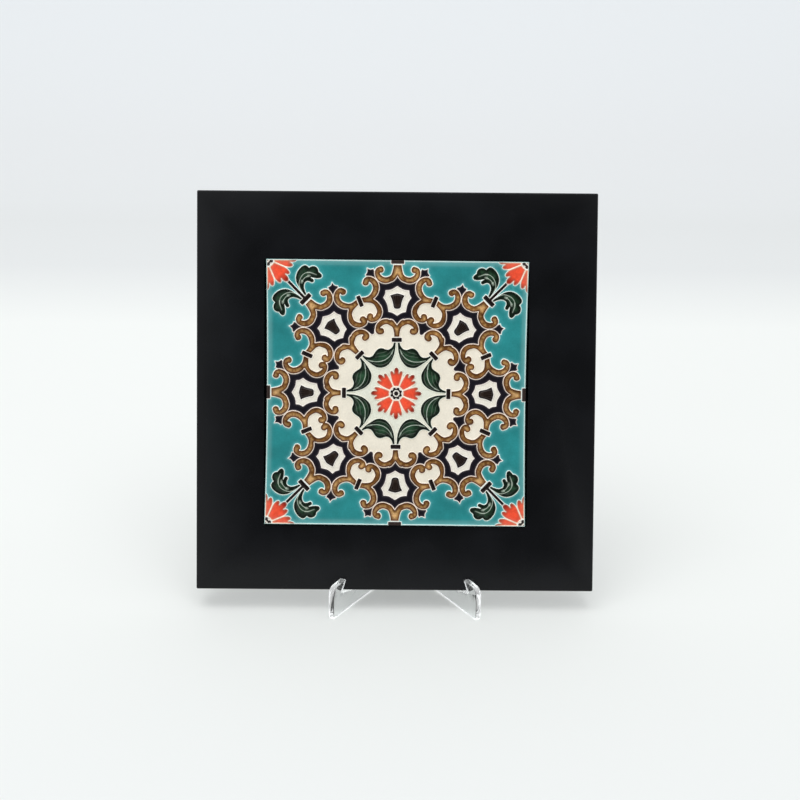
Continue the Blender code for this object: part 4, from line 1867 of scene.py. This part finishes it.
@dataclass
class Tile:
    """The moulded, glazed tile. Its left and right sides draw in a little at mid height. Sizes in mm."""

    face: Face
    width: float = 150.0
    height: float = 151.9
    thickness: float = 8.0
    waist: float = 0.95
    turn: float = math.radians(-0.22)
    proud: float = 1.2
    drop: float = 0.6

    def build(self) -> bpy.types.Object:
        """Model the tile: its relief, its sides and its back.

        Returns:
            The tile.
        """
        drawing = TileDrawing()
        drawing.draw()
        relief = Relief(drawing)
        relief.build()
        places, faces, glazes, values = relief.whole()
        half = drawing.side / 2
        places[:, 0] *= (self.width / 2 - self.waist * (1.0 - (places[:, 1] / half) ** 2)) / half
        places[:, 1] *= self.height / drawing.side
        places *= MM
        mesh = bpy.data.meshes.new("tile_glazed")
        mesh.from_pydata(places.tolist(), [], faces.tolist())
        for name in values:
            layer = mesh.attributes.new(name, "FLOAT", "POINT")
            layer.data.foreach_set("value", values[name].astype(np.float32))
        for glaze in Glaze:
            mesh.materials.append(GLAZES[glaze].make())
        mesh.polygons.foreach_set("material_index", glazes.astype(np.int32))
        tile = bpy.data.objects.new("tile_glazed", mesh)
        bpy.context.scene.collection.objects.link(tile)
        self.close(tile)
        spot = Matrix.Translation((0.0, -self.drop * MM, self.proud * MM))
        settle(tile, self.face.place() @ spot @ Matrix.Rotation(self.turn, 4, "Z"))
        return tile

    def close(self, tile: bpy.types.Object) -> None:
        """Pull the sides down from the face's border and fill the back.

        Args:
            tile: the tile's face.
        """
        make_active(tile)
        bpy.ops.object.mode_set(mode="EDIT")
        bpy.ops.mesh.select_mode(type="EDGE")
        bpy.ops.mesh.select_all(action="DESELECT")
        bpy.ops.mesh.select_non_manifold()
        bpy.ops.mesh.extrude_edges_move(TRANSFORM_OT_translate={"value": (0.0, 0.0, -self.thickness * MM)})
        bpy.ops.transform.resize(
            value=(1.0, 1.0, 0.0), center_override=(0.0, 0.0, -self.thickness * MM), orient_type="GLOBAL"
        )
        bpy.ops.mesh.edge_face_add()
        bpy.ops.mesh.select_all(action="SELECT")
        bpy.ops.mesh.normals_make_consistent(inside=False)
        bpy.ops.object.mode_set(mode="OBJECT")
        bpy.ops.object.shade_smooth_by_angle(angle=math.radians(60.0))
        # the sides and back take the rim's glaze, whose dark stops are painted shade
        border = -0.3 * MM
        for face in tile.data.polygons:
            if face.center.z < border:
                face.material_index = Glaze.RIM.value

    @staticmethod
    def dress(tile: bpy.types.Object) -> None:
        """Say what the tile stands for."""
        dress(tile, "tile")


@dataclass
class Easel:
    """The clear easel: two upright wings, joined in a V behind, each with a ledge and a lip. Sizes in mm.

    A wing's outline is drawn in its own plane, with s along the wing from its front end and z its height.
    """

    face: Face
    # how far right of the board's middle it stands, and the angle between a wing and the line of sight
    offset: float = 5.9
    half_angle: float = math.radians(33.0)
    thickness: float = 3.5
    span: float = 87.2
    height: float = 105.0
    # the ledges' height under the board's front edge, and the lips in front of it
    lift: float = 13.4
    lip_depth: float = 10.3
    lip_rise: float = 7.0
    lip_undercut: float = 1.8
    lip_slope: float = 0.8
    # the play round the board, the feet's length, and the height under the wing between them
    gap: float = 0.3
    pad: float = 4.0
    arch: float = 0.8
    # radii of the cut edges, the front corner, the lip's tip, the ledge's inner corners and the top
    edge_round: float = 0.35
    corner_round: float = 4.5
    tip_round: float = 0.5
    notch_round: float = 0.8
    top_round: float = 5.0

    def board_front(self, z: float) -> float:
        """How far behind the easel's front plane the board's face is at a height.

        Args:
            z: the height.

        Returns:
            The distance.
        """
        foot = self.lip_depth * math.cos(self.half_angle) + self.gap / math.cos(self.face.lean)
        return foot + (z - self.lift) * math.tan(self.face.lean)

    def lip(self, z: float) -> float:
        """Where the lip's back edge is along the wing at a height."""
        return (self.board_front(z) - self.gap / math.cos(self.face.lean)) / math.cos(self.half_angle)

    def ledge(self, s: float) -> float:
        """The ledge's height under the board at a place along the wing."""
        behind = s * math.cos(self.half_angle) - self.board_front(self.lift)
        return self.lift - behind * math.tan(self.face.lean) - self.gap / math.cos(self.face.lean)

    def support(self, z: float) -> float:
        """Where the edge behind the board is along the wing at a height."""
        behind = self.board_front(z) + (self.face.thickness + self.gap) / math.cos(self.face.lean)
        return (behind + self.thickness * math.sin(self.half_angle)) / math.cos(self.half_angle)

    def outline(self, spine: float) -> Outline:
        """Draw a wing, from its front foot over the lip, the ledge and the top to its back foot.

        Args:
            spine: the wing's length up to the middle of the V.

        Returns:
            The closed outline.
        """
        z, rounds = self.lift, 20
        for _ in range(rounds):
            z = self.ledge(self.support(z))
        back_root = (self.support(z), z)
        tip = (self.lip(self.lift + self.lip_rise), self.lift + self.lip_rise)
        front_top = (0.0, tip[1] - self.lip_slope)
        lip_root = (self.lip(self.lift) - self.lip_undercut, self.ledge(self.lip_depth))
        top_front = (self.support(self.height), self.height)
        past = spine + self.thickness
        corners = [(0.0, 0.0), front_top, tip, lip_root, back_root, top_front, (past, self.height)]
        radii = (self.corner_round, self.tip_round, self.notch_round, self.notch_round, self.top_round)
        points = [corners[0]]
        for before, corner, after, radius in zip(corners, corners[1:], corners[2:], radii):
            points += rounded_corner(before, corner, after, radius)
        points += [corners[-1], (past, 0.0), (spine - 2 * self.pad, 0.0)]
        points += [((spine + self.pad) / 2, self.arch), ((spine - self.pad) / 2, self.arch), (self.pad, 0.0)]
        return points

    def build(self) -> bpy.types.Object:
        """Model the easel: one wing is cut at the middle plane and mirrored.

        Returns:
            The easel.
        """
        outline = self.outline(self.span / 2 / math.sin(self.half_angle))
        mesh = bpy.data.meshes.new("easel_clear")
        mesh.from_pydata([(s * MM, z * MM, 0.0) for s, z in outline], [], [list(range(len(outline)))])
        easel = bpy.data.objects.new("easel_clear", mesh)
        bpy.context.scene.collection.objects.link(easel)
        make_active(easel)
        bpy.ops.object.mode_set(mode="EDIT")
        bpy.ops.mesh.select_all(action="SELECT")
        bpy.ops.mesh.extrude_region_move(TRANSFORM_OT_translate={"value": (0.0, 0.0, -self.thickness * MM)})
        bpy.ops.mesh.select_all(action="SELECT")
        bpy.ops.mesh.normals_make_consistent(inside=False)
        bpy.ops.object.mode_set(mode="OBJECT")
        along = Vector((-math.sin(self.half_angle), math.cos(self.half_angle), 0.0))
        outward = Vector((math.cos(self.half_angle), math.sin(self.half_angle), 0.0))
        wing = Matrix((along, Vector((0.0, 0.0, 1.0)), outward)).transposed().to_4x4()
        low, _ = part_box("easel")
        wing.translation = (self.span / 2 * MM, low.y + self.thickness * math.sin(self.half_angle) * MM, 0.0)
        mesh.transform(wing)
        mirror = easel.modifiers.new("other wing", "MIRROR")
        mirror.use_bisect_axis = (True, False, False)
        mirror.use_clip = True
        mirror.merge_threshold = 1e-5
        rounding = easel.modifiers.new("polished edges", "BEVEL")
        rounding.width = self.edge_round * MM
        rounding.segments = 3
        rounding.limit_method = "ANGLE"
        rounding.angle_limit = math.radians(25.0)
        apply_modifiers(easel)
        settle(easel, Matrix.Translation((self.offset * MM, 0.0, 0.0)))
        easel.data.shade_smooth()
        return easel

    def dress(self, easel: bpy.types.Object) -> None:
        """Give the easel's faces, cut edges and feet their finishes and say what it stands for.

        Args:
            easel: the easel.
        """
        for finish in (
            ClearAcrylic("clear_acrylic_face"),
            # the edges, and the feet most, give off a painted glow
            ClearAcrylic("polished_acrylic_edge_with_painted_glow", scatter_and_glow=0.04, roughness=0.06),
            ClearAcrylic("sawn_acrylic_foot_with_painted_glow", scatter_and_glow=0.45, roughness=0.2),
        ):
            easel.data.materials.append(finish.make())
        sheet, edge, foot = range(3)
        for face in easel.data.polygons:
            face.material_index = sheet if self.along_sheet(face) > 0.95 else edge
            if face.normal.z < -0.8 and face.center.z < 2 * self.arch * MM:
                face.material_index = foot
        dress(easel, "easel")

    def along_sheet(self, face: bpy.types.MeshPolygon) -> float:
        """Compare a face with its own wing's sheet.

        Args:
            face: a face of the easel.

        Returns:
            How squarely it looks across the sheet, from 0 to 1.
        """
        side = math.copysign(1.0, face.center.x - self.offset * MM)
        across_x, across_y = side * math.cos(self.half_angle), math.sin(self.half_angle)
        return abs(face.normal.x * across_x + face.normal.y * across_y)


@dataclass
class Studio:
    """A pale paper sweep, one soft light and the camera. Distances in mm, angles in degrees."""

    # the camera, seen from the middle of the board's face, and its frame's shift to the right and up
    distance: float = 800.0
    azimuth: float = -0.31
    elevation: float = 20.71
    roll: float = 0.56
    focal: float = 62.82
    frame_side: float = 800.0
    offset: tuple[float, float] = (3.82, -7.73)
    # the paper curves up at the bend
    bend: float = 1000.0
    bend_radius: float = 350.0
    reach: float = 6000.0
    # the light from all round, and the dark flag in front, fully dark and ended at two angles from its middle
    surround_light: float = 0.93
    backdrop_light: float = 0.85
    flag_light: float = 0.06
    flag_azimuth: float = 8.0
    flag_elevation: float = 20.0
    flag_angles: tuple[float, float] = (8.0, 34.0)
    # the softbox above the front, with its power in watts
    key_spot: tuple[float, float, float] = (-120.0, -430.0, 1280.0)
    key_aim: tuple[float, float, float] = (0.0, 0.0, 100.0)
    key_size: tuple[float, float] = (1400.0, 700.0)
    key_power: float = 7.0

    def build(self) -> None:
        """Make the paper, the light and the camera."""
        self.sweep()
        self.surround()
        self.key_light()
        self.camera()
        bpy.context.scene.view_settings.view_transform = "Standard"

    def sweep(self) -> None:
        """One paper sweep: flat under and behind the object, then curved up into a wall."""
        deselect()
        bpy.ops.mesh.primitive_plane_add(size=1.0, location=(0.0, (self.bend - self.reach / 2) * MM, 0.0))
        sweep = bpy.context.object
        sweep.name = sweep.data.name = "paper_sweep"
        sweep.scale = (self.reach * MM, self.reach * MM, 1.0)
        bpy.ops.object.transform_apply(location=True, rotation=True, scale=True)
        bpy.ops.object.mode_set(mode="EDIT")
        back = (self.bend - 0.1) * MM
        select_edges(sweep, lambda point: point.y > back)
        centre = (0.0, self.bend * MM, self.bend_radius * MM)
        bpy.ops.mesh.spin(steps=24, angle=-math.pi / 2, center=centre, axis=(1.0, 0.0, 0.0))
        bpy.ops.object.mode_set(mode="OBJECT")
        sweep.data.shade_smooth()
        sweep.data.materials.append(MattPaper().make())

    def surround(self) -> None:
        """An even white surround, with the side in front of the object kept dark, as by a black flag."""
        world = bpy.data.worlds.new("surround")
        bpy.context.scene.world = world
        world.use_nodes = True
        tree = world.node_tree
        direction = add_node(tree, "ShaderNodeTexCoord").outputs["Generated"]
        side, rise = math.radians(self.flag_azimuth), math.radians(self.flag_elevation)
        flag = (math.sin(side) * math.cos(rise), -math.cos(side) * math.cos(rise), math.sin(rise))
        front = add_node(tree, "ShaderNodeVectorMath", {0: direction, 1: flag}, operation="DOT_PRODUCT")
        darkest, end = (math.cos(math.radians(angle)) for angle in self.flag_angles)
        spread = {"Value": front.outputs["Value"], "From Min": end, "From Max": darkest}
        spread |= {"To Min": self.surround_light, "To Max": self.flag_light}
        light = add_node(tree, "ShaderNodeMapRange", spread, interpolation_type="SMOOTHSTEP")
        seen = add_node(tree, "ShaderNodeLightPath").outputs["Is Camera Ray"]
        parts = {0: seen, 2: light.outputs["Result"], 3: self.backdrop_light}
        strength = add_node(tree, "ShaderNodeMix", parts)
        background = tree.nodes["Background"]
        tree.links.new(strength.outputs[0], background.inputs["Strength"])
        background.inputs["Color"].default_value = linear("#fbfdff")

    def key_light(self) -> None:
        """A softbox above the front."""
        data = bpy.data.lights.new("key", "AREA")
        data.shape = "RECTANGLE"
        data.size, data.size_y = (side * MM for side in self.key_size)
        data.energy = self.key_power
        light = bpy.data.objects.new("key", data)
        bpy.context.scene.collection.objects.link(light)
        light.location = Vector(self.key_spot) * MM
        light.rotation_mode = "QUATERNION"
        light.rotation_quaternion = (Vector(self.key_aim) * MM - light.location).to_track_quat("-Z", "Y")

    def camera(self) -> None:
        """Aim the camera at the middle of the board's face."""
        side, rise = math.radians(self.azimuth), math.radians(self.elevation)
        away = Vector((math.sin(side) * math.cos(rise), -math.cos(side) * math.cos(rise), math.sin(rise)))
        data = bpy.data.cameras.new("camera")
        data.lens, data.sensor_width = self.focal, 36.0
        data.clip_start, data.clip_end = 0.01, 20.0
        data.shift_x, data.shift_y = (shift / self.frame_side for shift in self.offset)
        camera = bpy.data.objects.new("camera", data)
        bpy.context.scene.collection.objects.link(camera)
        camera.location = Face().place().translation + away * self.distance * MM
        camera.rotation_mode = "QUATERNION"
        roll = Matrix.Rotation(math.radians(self.roll), 4, "Z").to_quaternion()
        camera.rotation_quaternion = (-away).to_track_quat("-Z", "Y") @ roll
        bpy.context.scene.camera = camera


def main() -> None:
    """Build every piece in order."""
    logging.basicConfig(level=logging.INFO)
    deselect()
    face = Face()
    board = Board(face)
    board.dress(board.build())
    tile = Tile(face)
    tile.dress(tile.build())
    easel = Easel(face)
    easel.dress(easel.build())
    Studio().build()


if __name__ == "__main__":
    main()
